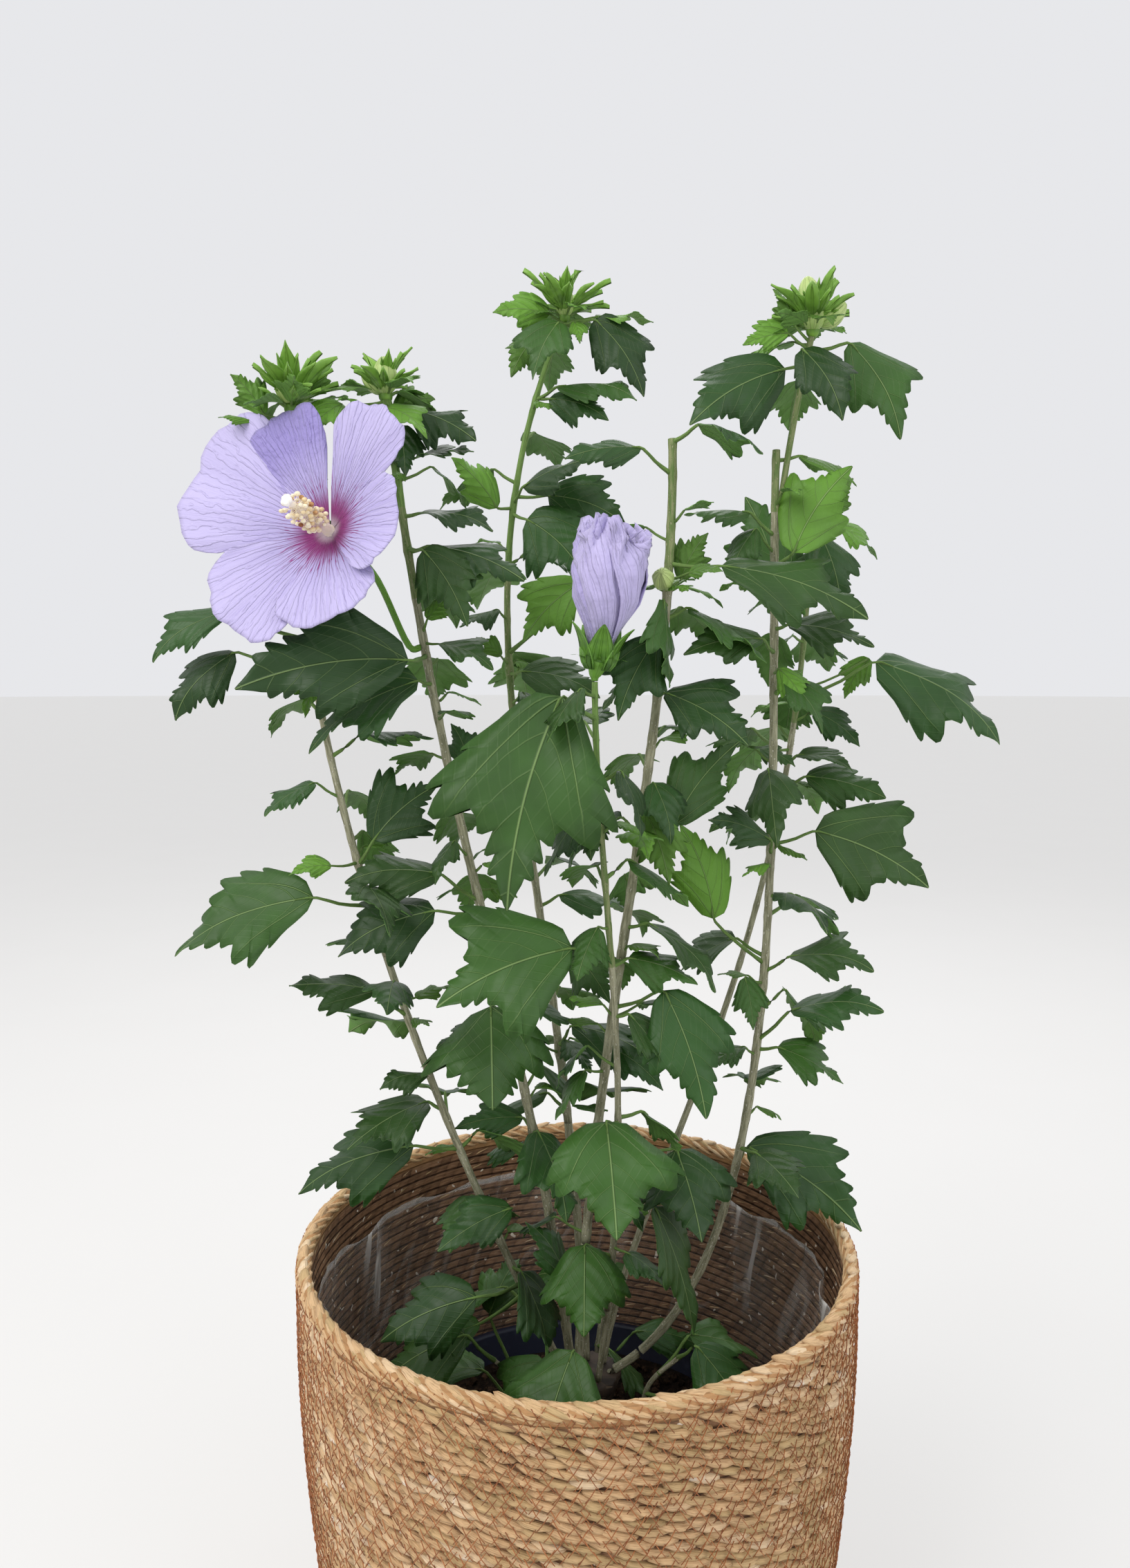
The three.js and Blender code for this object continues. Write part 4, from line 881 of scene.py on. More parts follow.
def add_leaf(joined, leaf, detail, age, draw):
    """One blade as a closed thin shell with blunt teeth, folded, twisted and waved in its own way."""
    places, teeth = TEETH.T
    shape, share, across, below = sheet(len(places) - 1, 4 if leaf["length"] < SMALL_LEAF else 6)
    station = np.round(share * (len(places) - 1)).astype(int)
    edge, along = np.abs(across), places[station]
    widest = leaf["width"] + leaf["lobe"]
    depth = detail.tooth_size * widest * (0.55 + 0.75 * draw()) * (1 - 0.35 * along)
    tooth = teeth[station] * np.where(edge > 0.99, 1, edge ** 3 * 0.5)
    half = np.maximum(leaf_half_width(along, leaf) + tooth * depth, LEAST_WIDTH / leaf["length"])
    out = across * half
    points, normals = blade_points(leaf, along + np.maximum(tooth, 0) * depth * 0.4, out)
    phase, waves = draw() * PHASES, 1.1 + 1.1 * draw()
    start = phase + np.where(across > 0, 0, 1.2 + 3 * draw())
    wave = np.sin(math.tau * waves * along + start) * edge ** 1.5 * np.sin(math.pi * along) ** 0.5
    fold, twist, curl = 0.7 * draw() - 0.3, 1.8 * draw() - 0.9, 0.5 * draw() - 0.12
    lift = wave * detail.leaf_ruffle * widest / FULL_WIDTH + fold * np.abs(out) * (1 - 0.5 * along)
    lift = lift + twist * out * (along - 0.25) - curl * np.maximum(along - 0.45, 0) ** 2
    thick = below * (BLADE_THICK - 0.2 * edge)
    points = points + normals * (lift * leaf["length"] - thick)[:, None]
    uv = layout(along, out / widest * FULL_WIDTH + 0.5)
    joined.add(shape, points, uv, draw(), two_sided(shape, age * 2))


# Material slots of the stems, by age
GREY, OLIVE, GREEN = 0, 1, 2


def add_stalk(joined, leaf):
    """The stalk of a leaf, from inside its stem to a little way along its blade."""
    joint, base = leaf["joint"], leaf["base"]
    ahead = blade_points(leaf, np.array([0.12]), np.array([0.0]))[0][0]
    sag = UP * np.linalg.norm(base - joint) * 0.04
    path = Spline(joint - unit(base - joint), (joint + base) / 2 - sag, base, ahead)
    radii = taper(9, [0, 0.15, 0.6, 1], [1.5, 1.0, 0.75, 0.3])
    add_stem(joined, path, radii * (0.75 if leaf["length"] < SMALL_LEAF else 1.0), sides=6, slot=GREEN)


# Canes and leafy lengths


def cane_path(name):
    """A cane's centreline, its radii at foot and tip, and the rises between which it bears leaves."""
    foot, low, high, tip, radii, shoots = CANES[name]
    return Bezier((*foot, CANE_FOOT), low, high, tip), radii, shoots


# The side shoot that carries on above the cut end of the right cane
RIGHT_SHOOT = Bezier((94.5, -10.5, 628), (97, -11, 655), (102, -13, 690), (109, -15, 723))

# Canes whose leaves make up the piece on the left side
LEFT_CANES = ("left", "bloom", "back")

# Rises where a cane's grey bark turns olive, and where the olive turns green
GREENING = {
    "left": (560, 630), "bloom": (600, 640), "back": (500, 620), "slim": (430, 520),
    "middle": (610, 690), "right": (640, 700), "far_right": (540, 640),
}

# Bark is drawn this much finer than the solid canes are thick; a joint swells it by a share of its
# radius, over a height in millimetres
SLENDER = 0.88
SWELLING, SWELLING_HEIGHT = 0.13, 2.4
# Height of a bare cane's first joint over its foot, and the distance from one joint to the next
FIRST_JOINT, JOINT_PITCH = 22, 31


def add_limb(joined, name, path, start, end, radii, joints):
    """One length of a cane: bark in three ages, with a swelling at each joint."""
    steps = max(4, int(path.length() * (end - start) / RING_PITCH))
    shares = np.linspace(start, end, steps + 1)
    centres = path.at(shares)
    radius = SLENDER * (radii[0] + (radii[1] - radii[0]) * shares)
    for rise in joints:
        radius = radius * (1 + SWELLING * np.exp(-(((centres[:, 2] - rise) / SWELLING_HEIGHT) ** 2)))
    olive, green = GREENING[name]
    rise = (centres[:-1, 2] + centres[1:, 2]) / 2
    ages = np.where(rise > green, GREEN, np.where(rise > olive, OLIVE, GREY))
    ways = path.way(shares)
    if start == 0:
        ways[0] = UP

    def relief(ring, turn):
        return 0.018 * np.sin(turn * 3 + ring * 0.31) + 0.014 * np.sin(turn * 5 - ring * 0.53)

    tone = 0.3 + 0.05 * len(name)
    tube_along(joined, centres, ways, radius, sides=12, slots=ages, tone=tone, relief=relief)


def young_rows(start, end, draw):
    """Small leaves in the joints of a leafy length, turned by the golden angle from one to the next."""
    for i in range(YOUNG_LEAVES):
        share = start + (end - start) * (i + 0.3 + 0.4 * draw()) / YOUNG_LEAVES
        bearing = i * GOLDEN_ANGLE + 60 * draw()
        length = 13 + 9 * draw()
        reach = 5 + 5 * draw()
        yield share, [0, bearing, reach, 40, bearing, -25 + 40 * draw(), length, 0]


def finer_rows(path, start, end, draw):
    """Leaves that the solids leave out: one to each joint of the stem, fewer towards its top."""
    share = start + 0.01
    bearing = 360 * draw()
    while share < end:
        rise = path.at(share)[2]
        bearing += GOLDEN_ANGLE + 20 * draw()
        length = 24 + 24 * draw()
        row = [0, bearing, 9 + 9 * draw(), 10 + 30 * draw(), bearing + 60 * draw() - 30]
        yield share, [*row, -15 + 60 * draw(), length, 60 * draw() - 30, 0.9 + 0.3 * draw()]
        share += (18 + 12 * draw() + 26 * smooth(rise, 540, 640)) / path.length()


def tip_rows(draw):
    """Small bright leaves under a shoot tip."""
    for i in range(5):
        bearing = i * GOLDEN_ANGLE + 40 * draw()
        row = [0, bearing, 4 + 4 * draw(), 25, bearing, -35 + 50 * draw()]
        yield [*row, 17 + 7 * draw(), 30 * draw() - 15, 0.9]


# Round the open bloom, in millimetres: how near and far from its throat its stalk is, the stalk's rise
# and half-height, its right end, and how near and how far forward a finer leaf may stand
STALK_NEAR, STALK_FAR, STALK_RISE, STALK_HALF, STALK_RIGHT = 15, 52, 596, 8, -90
BLOOM_CLEAR, BLOOM_FRONT = 78, -14


def behind_bloom(leaf):
    """Where a small leaf would stand in the open bloom's stalk, or a finer one before the bloom."""
    away = leaf["base"] - BLOOM_THROAT
    distance = np.linalg.norm(away)
    x, _, z = leaf["base"]
    beside = leaf["length"] < SMALL_LEAF and STALK_NEAR < distance < STALK_FAR
    stalk = beside and abs(z - STALK_RISE) < STALK_HALF and x > STALK_RIGHT
    ahead = away @ BLOOM_FACING + leaf["length"] * direction(leaf["heading"], 0) @ BLOOM_FACING * 0.6
    return stalk or (leaf.get("finer") and distance < BLOOM_CLEAR and ahead > BLOOM_FRONT)


def leaves_at(path, rows, draw):
    """Leaves in the joints of a stem, from pairs of a share of its path and a row."""
    return [leaf_from_row(path.at(share), row, draw) for share, row in rows]


def leafy_lengths():
    """Every leafy length as the solids have it: its label, stem, leaves, tips and buds."""
    found = []
    for name in CANES:
        path, radii, shoots = cane_path(name)
        parts = len(shoots) - 1
        for part in range(parts):
            low, high = shoots[part], shoots[part + 1]
            start, end = path.share_at(low) + CLEAR / path.length(), path.share_at(high)
            label = f"leaves_{name}" if parts == 1 else f"leaves_{name}_{('lower', 'upper')[part]}"
            draw = seeded(LENGTH_SEED + LENGTH_SEED_STEP * len(found))
            rows = [(path.share_at(row[0]), row) for row in CANE_LEAVES[name] if low <= row[0] < high]
            leaves = leaves_at(path, rows, draw)
            leaves += leaves_at(path, young_rows(start + 0.02, end - 0.03, draw), draw)
            finer = seeded(FINER_SEED + len(found))
            rows = finer_rows(path, start, end, finer)
            leaves += [dict(leaf, finer=True) for leaf in leaves_at(path, rows, finer)]
            tips = []
            top = part == parts - 1
            if top and name == "right":
                rows = [(RIGHT_SHOOT.share_at(row[0]), row) for row in CANE_LEAVES["right_top"]]
                leaves += leaves_at(RIGHT_SHOOT, rows, draw)
                tips.append((RIGHT_SHOOT.at(1.0), "right_top", draw))
            elif top and name in TIPS:
                tips.append((path.at(end), name, draw))
            collars = [centre for centre, _, _ in tips]
            if top and name == "middle":
                collars.append(path.at(path.share_at(ROUND_BUD[0])))
            for centre in collars:
                leaves += [leaf_from_row(centre, row, finer) for row in tip_rows(finer)]
            found.append(dict(
                label=label, name=name, path=path, span=(start, end), radii=radii, tips=tips,
                leaves=[leaf for leaf in leaves if not behind_bloom(leaf)],
            ))
    for label, bearing, lift, length, rows in LOW_SHOOTS:
        out = direction(bearing, 0)
        start = (TRUNK_FOOT + TRUNK_HEAD) / 2 + out * (11.9 + CLEAR)
        end = start + direction(bearing, lift) * length
        path = Spline(start, start + out * length * 0.25, start + (end - start) * 0.6, end)
        draw = seeded(LENGTH_SEED + LENGTH_SEED_STEP * len(found))
        leaves = leaves_at(path, [(row[0], row) for row in rows], draw)
        finer = seeded(FINER_SEED + len(found))
        leaves += leaves_at(path, finer_rows(path, 0.3, 0.95, finer), finer)
        found.append(dict(
            label=label, name="slim", path=path, span=(0, 1), radii=(1.8, 1.2), tips=[], leaves=leaves,
        ))
    return found


# Kinds of leaves, in the order of their paints. Young ones are shorter than the first length, or than the
# second in the top zone of their stem; leaves that stand on edge take the young light green as painted
# light shining through them. Of the rest this share is mid green
DARK, MID, YOUNG_AND_BACKLIT = 0, 1, 2
YOUNG_LENGTH, TOP_LENGTH, TOP_ZONE, ON_EDGE, MID_SHARE = 24, 34, 6, 75, 0.45


def leaf_kind(leaf, length, draw):
    """Which paint a leaf of a leafy length takes: its age, or the young light green as painted backlight
    where it stands on edge.
    """
    top = leaf["joint"][2] > length["path"].at(length["span"][1])[2] - TOP_ZONE
    limit = TOP_LENGTH if top else YOUNG_LENGTH
    # A leaf that stands on edge takes the young light green as painted light shining through it
    if leaf["length"] < limit or abs(leaf["roll"]) >= ON_EDGE:
        return YOUNG_AND_BACKLIT
    return MID if draw() < MID_SHARE else DARK


# Material slots of the tips: bracts above and below, and buds
BRACT, BUD = 0, 2


def add_strap(joined, base, heading, lift, length, width, draw):
    """A narrow bract, folded along its middle, with a wavy margin."""
    shape, along, across, below = sheet(10, 4)
    blade = dict(base=base, heading=heading, droop=-lift, length=length, roll=0, sweep=0)
    half = width * (0.16 + 0.84 * np.sin(math.pi * np.clip(along, 0, 0.99) ** 1.15)) * (1 - along ** 9)
    points, normals = blade_points(blade, along, across * np.maximum(half, 0.004))
    wave = 0.035 * np.sin(along * 9 + draw() * 6) * np.abs(across) + 0.05 * np.abs(across)
    points = points + normals * (wave * length - below * BRACT_THICK)[:, None]
    joined.add(shape, points, layout(along, across * 0.3 + 0.5), draw(), two_sided(shape, BRACT))


def add_bud(joined, joint, way, reach, radius, stretch, draw):
    """A ribbed, pointed bud on a straight stalk."""
    middle = joint + way * reach
    shape = form(ball, 15, 12)
    x, y, z = shape.points.T
    side, other = axes_across(way)
    rib = 1 + 0.07 * np.cos(np.arctan2(y, x) * 5) * (1 - z * z)
    height = z * stretch + np.where(z > 0, 0.25 * z ** 4, 0)
    points = middle + radius * (outer(x * rib, side) + outer(y * rib, other) + outer(height, way))
    joined.add(shape, points, ball_uv(shape), draw(), BUD)
    path = Bezier(joint, joint + way * reach * 0.3, joint + way * reach * 0.6, middle)
    add_stem(joined, path, np.full(5, STALK_RADIUS), sides=7, slot=BUD)


def add_tip(joined, centre, name, draw, extra):
    """A shoot tip as the solids have it: narrow bracts round a knot, and buds on short stalks."""
    bracts, reach, buds = TIPS[name]
    shape = form(ball, 10, 8)
    joined.add(shape, shape.points * TIP_HUB + centre, None, 0.4)
    for i in range(bracts):
        lift = 84 - 54 * (i / bracts) - 10 * draw()
        bearing = i * GOLDEN_ANGLE + 15 * draw()
        length = reach * (0.78 + 0.38 * draw())
        for turn, raised, share, width in ((0, 0, 1, 0.12), (-0.35, 3, 0.8, 0.1), (0.4, 3, 0.8, 0.1)):
            around = bearing + math.degrees(turn)
            foot = centre + direction(around, lift)
            add_strap(joined, foot, around, lift + raised, length * share, width, extra)
    for bearing, lean, out, radius in buds:
        way = direction(bearing, 90 - lean)
        add_bud(joined, centre, way, out, radius, 1.4, extra)
        foot = centre + way * (out - radius)
        for k in range(5):
            add_strap(joined, foot, k * 72 + 20, 25 + 20 * extra(), radius * 1.9, 0.09, extra)


def bloom_axes():
    """The open bloom's right and its upwards, across its facing."""
    right = unit(np.cross(UP, BLOOM_FACING))
    return right, np.cross(BLOOM_FACING, right)


def bloom_point(bearing, reach, depth):
    """Points round the open bloom: a bearing in degrees, a reach from its axis, a depth along it."""
    right, up = bloom_axes()
    turn = np.radians(bearing)
    return BLOOM_THROAT + outer(np.cos(turn) * reach, right) + outer(np.sin(turn) * reach, up) \
        + outer(depth + 0 * turn, BLOOM_FACING)


def add_petal(joined, petal, detail, draw):
    """A petal by the rule of the solids: a fan from the throat with a gently waved margin."""
    bearing, spread, length, raised = petal
    length = length * (1.08 + 0.06 * (bearing > 150 or bearing < -100))
    # The petal that lies under its neighbours gets tone 1, which its paint turns into painted shade
    tone = 1.0 if raised < 0 else 0.8 * draw()
    shape, part, across, below = sheet(26, 28)
    fan = across * 0.97 * math.pi / 2
    edge, along = np.sin(fan), part * np.cos(fan) ** (1 / 3)
    phase, other = draw() * PHASES, draw() * PHASES
    rim = smooth(part, 0.5, 1.0) * smooth(along, 0.25, 0.6)
    wave = np.sin(fan * 4.5 + phase) + 0.45 * np.sin(fan * 11 + other) + 0.2 * np.sin(fan * 25 + phase)
    pleat = 0.35 * np.sin(edge * 9 + phase) * smooth(along, 0.1, 0.5)
    frill = 1 + rim * (0.012 * np.sin(fan * 9 + other) + 0.008 * np.sin(fan * 21 + phase))
    reach = (1.5 + BLOOM_REACH * length * along) * (1 + 0.1 * edge ** 2) * frill
    depth = BLOOM_DEPTH * np.sin(along * math.pi * 0.42) + 0.5 * edge + raised * along
    depth = depth + detail.petal_ruffle * METRE * (rim * wave + pleat)
    points = bloom_point(bearing - edge * spread, reach, depth - below * BLADE_THICK)
    joined.add(shape, points, layout(reach / BLOOM_REACH * 0.8, (edge + 1) / 2), tone)


def add_sepal(joined, base, axis, out, length, width, spread, draw):
    """A pointed calyx lobe that leans away from an axis."""
    shape, along, across, below = sheet(8, 4)
    half = width * np.sin(math.pi * np.clip(along * 0.92 + 0.06, 0, 0.99) ** 0.55) ** 0.8
    lean = spread * along
    thick = below * BRACT_THICK - np.abs(across) ** 2 * half * 0.35
    offset = width * (0.4 + 0.2 * smooth(along, 0, 0.4)) - thick
    points = base + outer(length * along * np.cos(lean), axis)
    points = points + outer(length * along * np.sin(lean) + offset, out)
    points = points + outer(across * half, np.cross(axis, out))
    joined.add(shape, points, layout(along, across * 0.4 + 0.5), draw())


def add_calyx(joined, centre, axis, length, spread, draw):
    """The cup below a bloom, with five lobes and, outside them, eight narrow bracts."""
    side, other = axes_across(axis)
    cup = form(ball, 14, 8)
    x, y, z = (cup.points * [1, 1, 1.3] * length * 0.2).T
    points = centre + axis * length * 0.2 + outer(x, side) + outer(y, other) + outer(z, axis)
    joined.add(cup, points, None, 0.4)
    lobes = (5, 0.3, centre, length, length * 0.28, spread)
    bracts = (8, 0, centre - axis * 1.5, length * 0.62, length * 0.06, spread + 0.55)
    for count, first, base, reach, width, lean in (lobes, bracts):
        for i in range(count):
            out = spoke((side, other), i / count * math.tau + first)
            add_sepal(joined, base, axis, out, reach, width, lean, draw)


# Material slots of the column's parts; its tube has slot 0
POLLEN, STIGMA, SPENT = 1, 2, 3


def add_column(joined, draw):
    """The bloom's column: a pale tube set with stalked anthers, and five stigma knobs."""
    axes = bloom_axes()
    depths = np.linspace(-2, COLUMN_LENGTH - 4, 12)
    centres = BLOOM_THROAT + outer(depths, BLOOM_FACING)
    radii = np.interp(depths, [-2, 4, 12, 30], [3.4, 2.2, 1.7, 1.3])
    tube_along(joined, centres, np.broadcast_to(BLOOM_FACING, centres.shape), radii, sides=12)
    knob = form(ball, 7, 5)
    for i in range(ANTHERS):
        out = spoke(axes, i * math.radians(GOLDEN_ANGLE) + 0.4 * draw())
        depth = 8 + (COLUMN_LENGTH - 15) * (i + draw()) / ANTHERS
        foot = BLOOM_THROAT + BLOOM_FACING * depth + out * 1.2
        head = foot + out * (2.6 + 2.2 * draw()) + BLOOM_FACING * (1.5 * draw())
        path = Bezier(foot, foot + out, head, head)
        add_stem(joined, path, np.full(3, FILAMENT), sides=4, way=unit(head - foot))
        size = 1.0 + 0.4 * draw()
        kind = SPENT if i > FRESH_ANTHERS and draw() < SPENT_CHANCE else POLLEN
        joined.add(knob, knob.points * [size, size * 0.8, size * 0.8] + head, None, draw(), kind)
    for i in range(5):
        out = spoke(axes, i / 5 * math.tau)
        foot = BLOOM_THROAT + BLOOM_FACING * (COLUMN_LENGTH - 5)
        head = foot + BLOOM_FACING * 2.2 + out * 1.3
        path = Bezier(foot, foot + BLOOM_FACING * 2, head, head)
        add_stem(joined, path, np.full(4, STIGMA_ARM), sides=5, slot=STIGMA, way=unit(head - foot))
        joined.add(knob, knob.points * 1.5 + head, None, 0.8, STIGMA)


def add_furled_petal(joined, number, draw):
    """One petal of the furled bloom, wrapped part of the way round with its margin crumpled."""
    shape, rise, across, below = sheet(30, 28)
    run = (across + 1) / 2
    axis = FURLED_TOP - FURLED_FOOT
    side, other = axes_across(unit(axis))
    phase, second = draw() * PHASES, draw() * PHASES
    radius = np.interp(rise, [0, 0.1, 0.3, 0.5, 0.68, 0.85, 1], [1.2, 3.1, 8, 14.2, 16.5, 15.5, 14])
    folds = 0.16 * (np.abs(np.sin(run * 5.5 + rise * 2 + phase)) - 0.5)
    folds = folds + 0.04 * np.sin(run * 27 - rise * 8 + second)
    crumple = 0.15 * np.sin(run * 15 + rise * 8 + second) + 0.12 * np.sin(run * 37 + rise * 31 + phase)
    folds = folds * smooth(rise, 0.05, 0.4)
    radius = radius * (0.78 + 0.25 * run + folds + crumple * smooth(rise, 0.62, 1.0))
    turn = number * math.radians(72) + run * math.radians(WRAP) + rise * math.radians(TWIST)
    turn = turn + 0.1 * smooth(rise, 0.5, 1.0) * np.sin(run * 19 + rise * 13 + phase)
    frill = 0.05 * np.sin(run * 9 + phase) + 0.035 * np.sin(run * 29 + second)
    frill = frill - 0.05 * np.abs(2 * run - 1) ** 3
    height = rise * (0.97 + smooth(rise, 0.5, 1.0) * frill)
    lip = smooth(rise, 0.9, 1) * (0.5 + 0.5 * np.sin(run * 7 + second))
    height = height - 0.035 * lip
    radius = radius * (1 + 0.14 * lip) - below * BLADE_THICK
    points = FURLED_FOOT + outer(height, axis)
    points = points + outer(np.cos(turn) * radius, side) + outer(np.sin(turn) * radius, other)
    joined.add(shape, points, layout(0.4 + 0.6 * rise, run), draw())


# The basket, its film and the pot inside


def basket_radius(height):
    """The basket's outer radius at a height."""
    share = smooth(height, 0, BASKET_HEIGHT * 0.86)
    return BASKET_FOOT_RADIUS + (BASKET_RADIUS - BASKET_FOOT_RADIUS) * share


def turned_piece(name, profile, steps, material, nodes, reshape=None):
    """A piece spun round the upright axis from a profile of (radius, height) in millimetres."""
    bm = bmesh.new()
    verts = [bm.verts.new((radius * MM, 0, height * MM)) for radius, height in profile]
    edges = [bm.edges.new(pair) for pair in zip(verts, verts[1:])]
    bmesh.ops.spin(
        bm, geom=verts + edges, cent=(0, 0, 0), axis=(0, 0, 1), angle=math.tau, steps=steps, use_merge=True,
    )
    bmesh.ops.remove_doubles(bm, verts=bm.verts[:], dist=1e-6)
    bmesh.ops.recalc_face_normals(bm, faces=bm.faces[:])
    if reshape:
        for vert in bm.verts:
            vert.co = reshape(vert.co / MM) * MM
    for face in bm.faces:
        face.smooth = True
    mesh = bpy.data.meshes.new(name)
    bm.to_mesh(mesh)
    bm.free()
    mesh.attributes.new("tone", "FLOAT", "POINT")
    mesh.materials.append(material)
    return dress(bpy.data.objects.new(name, mesh), nodes)


def add_strands(joined, detail, low, high, spread):
    """Rows of twisted grass, each strand a slanted lens on the wall with its ends tucked in."""
    shape = form(ball, 6, 5)
    x, y, z = shape.points.T
    pitch, length = detail.row_pitch * METRE, detail.strand_length * METRE
    for row in range(int(low / pitch), int(high / pitch)):
        height = FIRST_STRAND + row * pitch
        radius = basket_radius(height) - STRAND_SINK
        count = int(math.tau * radius / (length * 0.6))
        angle = np.arange(count) + spread.uniform(0, 1) + spread.uniform(-0.16, 0.16, count)
        angle = angle / count * math.tau
        height = height + spread.uniform(-0.35, 0.35, count)
        sizes = spread.uniform(0.82, 1.18, (3, count))
        slant = np.radians(spread.normal(14.5, 4, count))[:, None]
        patch = 0.14 * np.sin(angle * 2.3 + row * 0.11) + 0.08 * np.sin(angle * 7 + row * 0.45)
        tone = np.clip(spread.normal(0.48, 0.2, count) + patch, 0, 1)
        run = z * (sizes[0] * length * 0.54)[:, None]
        wide = x * (sizes[1] * pitch * 0.41)[:, None]
        out = radius + y * (sizes[2] * 2.8)[:, None] - 1.3 * z * z
        turn = angle[:, None] + (run * np.cos(slant) + wide * np.sin(slant)) / radius
        lift = -run * np.sin(slant) + wide * np.cos(slant)
        joined.add(shape, round_points(turn, out, height[:, None] + lift), ball_uv(shape), tone)


def add_rim(joined, spread):
    """The rolled rim: larger strands laid slantwise round it."""
    shape = form(ball, 8, 7)
    x, y, z = shape.points.T
    count = RIM_STRANDS
    for k, place in enumerate(range(-90, 241, 41)):
        angle = (np.arange(count) + 0.37 * k + spread.uniform(-0.1, 0.1, count)) / count * math.tau
        run = z * spread.uniform(8, 11, count)[:, None]
        wide = x * spread.uniform(1.8, 2.4, count)[:, None]
        wrap = np.radians(place + spread.uniform(-5, 5, count))[:, None] + wide / RIM_ROLL - run * 0.11
        bulk = spread.uniform(1.6, 2.2, count)[:, None]
        reach = RIM_ROLL - RIM_SINK + y * bulk - 1.1 * z * z
        turn = angle[:, None] + run / RIM_RADIUS
        points = round_points(turn, RIM_RADIUS + np.cos(wrap) * reach, RIM_LEVEL + np.sin(wrap) * reach)
        joined.add(shape, points, ball_uv(shape), np.clip(spread.normal(0.42, 0.2, count), 0, 1))


def add_stitches(joined, detail, top, spread):
    """Thread that crosses the rows in a zigzag, a short leg for each."""
    shape = form(tube, 3, 2)
    x, y, z = shape.points.T
    place = z / 2 - 0.5
    pitch, step = detail.row_pitch * METRE, detail.stitch_pitch * METRE
    for row in range(int(top / pitch)):
        height = FIRST_STITCH + row * pitch
        radius = basket_radius(height)
        count = int(math.tau * radius / step)
        start = (np.arange(count) + spread.uniform(0, 1)) / count * math.tau
        start = start + spread.uniform(-0.12, 0.12, count) / count * 6.28
        for hand in (-1, 1):
            keep = spread.uniform(0, 1, count) < 0.78
            legs = keep.sum()
            span = spread.uniform(0.75, 1.7, legs)[:, None]
            level = height + place * pitch * span * 1.15 + spread.uniform(-0.5, 0.5, legs)[:, None]
            turn = start[keep][:, None] + hand * place * step * 0.55 * span / radius + y * THREAD / radius
            bulge = 0.9 - 1.5 * np.abs(place) ** 2 * 4 * 0.45
            points = round_points(turn, basket_radius(level) + bulge + x * THREAD, level)
            joined.add(shape, points, None, spread.uniform(0, 1, legs))


# Sizes and colours that a user may change


def colour_property(name, description, *default):
    """A colour, given as a screen shows it."""
    return bpy.props.FloatVectorProperty(
        name=name, description=description, subtype="COLOR", size=4, min=0, max=1, default=rgb(*default),
    )


def share_property(name, description, default, highest):
    """A share from 0 up to a highest value."""
    return bpy.props.FloatProperty(
        name=name, description=description, default=default, min=0, max=highest, subtype="FACTOR",
    )


def length_property(name, description, default, least, most):
    """A length in metres."""
    return bpy.props.FloatProperty(
        name=name, description=description, default=default, min=least, max=most, unit="LENGTH",
        subtype="DISTANCE",
    )


class ShrubLeaves(bpy.types.PropertyGroup):
    """Sizes and colours of the leaves"""

    leaf_ruffle: share_property("Leaf ruffle", "How far leaf margins wave, over the length", 0.045, 0.1)
    tooth_size: share_property("Tooth size", "How far the teeth stand out, over the half-width", 0.26, 0.5)
    dark: colour_property("Old leaf", "Upper side of old leaves", 42, 80, 28)
    mid: colour_property("Leaf", "Upper side of leaves in their first summer", 54, 92, 31)
    # The young green is also painted on leaves that stand on edge, as light shining through them
    young: colour_property("Young leaf", "Upper side of young leaves", 98, 146, 46)
    under: colour_property("Leaf underside", "Underside of the leaves", 98, 140, 66)
    vein: colour_property("Veins", "Veins and leaf stalks", 146, 174, 108)
    bud: colour_property("Buds", "Buds and calyx lobes", 142, 174, 90)


class ShrubBlooms(bpy.types.PropertyGroup):
    """Sizes and colours of the blooms"""

    petal_ruffle: length_property("Petal ruffle", "How far petal margins wave", 0.0013, 0, 0.01)
    petal: colour_property("Petal", "Pale face of the petals", 184, 175, 217)
    petal_deep: colour_property("Petal veins", "Veins and shaded folds of the petals", 163, 151, 206)
    eye: colour_property("Eye", "Magenta eye of the open bloom", 136, 8, 112)
    cream: colour_property("Column", "Column and anthers", 246, 235, 206)


class ShrubBasket(bpy.types.PropertyGroup):
    """Sizes and colours of the basket, its film and its pot"""

    row_pitch: length_property("Row pitch", "Height of one row of the basket", 0.0045, 0.003, 0.02)
    strand_length: length_property("Strand", "Length of a strand between two twists", 0.018, 0.005, 0.05)
    stitch_pitch: length_property("Stitch pitch", "Distance between two stitches", 0.0064, 0.003, 0.03)
    film_alpha: share_property("Film", "How much the flat film covers what is behind it", 0.02, 1)
    straw: colour_property("Straw", "Dry grass", 214, 178, 134)
    straw_pale: colour_property("Pale straw", "Bleached grass", 230, 204, 168)
    straw_green: colour_property("Green straw", "Grass that kept some green", 182, 158, 110)
    # Besides brown fibres, this colour is painted at the strands' ends as shade where they tuck under their
    # neighbours
    straw_brown: colour_property("Brown straw", "Ends and hollows of the strands", 138, 98, 64)
    thread: colour_property("Thread", "Stitching thread", 172, 108, 62)
    pot: colour_property("Inner pot", "Plastic of the inner pot", 22, 28, 48)


class ShrubWood(bpy.types.PropertyGroup):
    """Colours of bark and stems"""

    bark: colour_property("Bark", "Grey-tan bark", 172, 169, 142)
    bark_dark: colour_property("Bark furrows", "Darker streaks of the bark", 116, 115, 88)
    olive: colour_property("Young bark", "Bark on its way from green to grey", 134, 140, 96)
    green: colour_property("Green stem", "Green shoots", 84, 112, 50)
    trunk: colour_property("Trunk", "Old bark at the soil", 72, 58, 46)


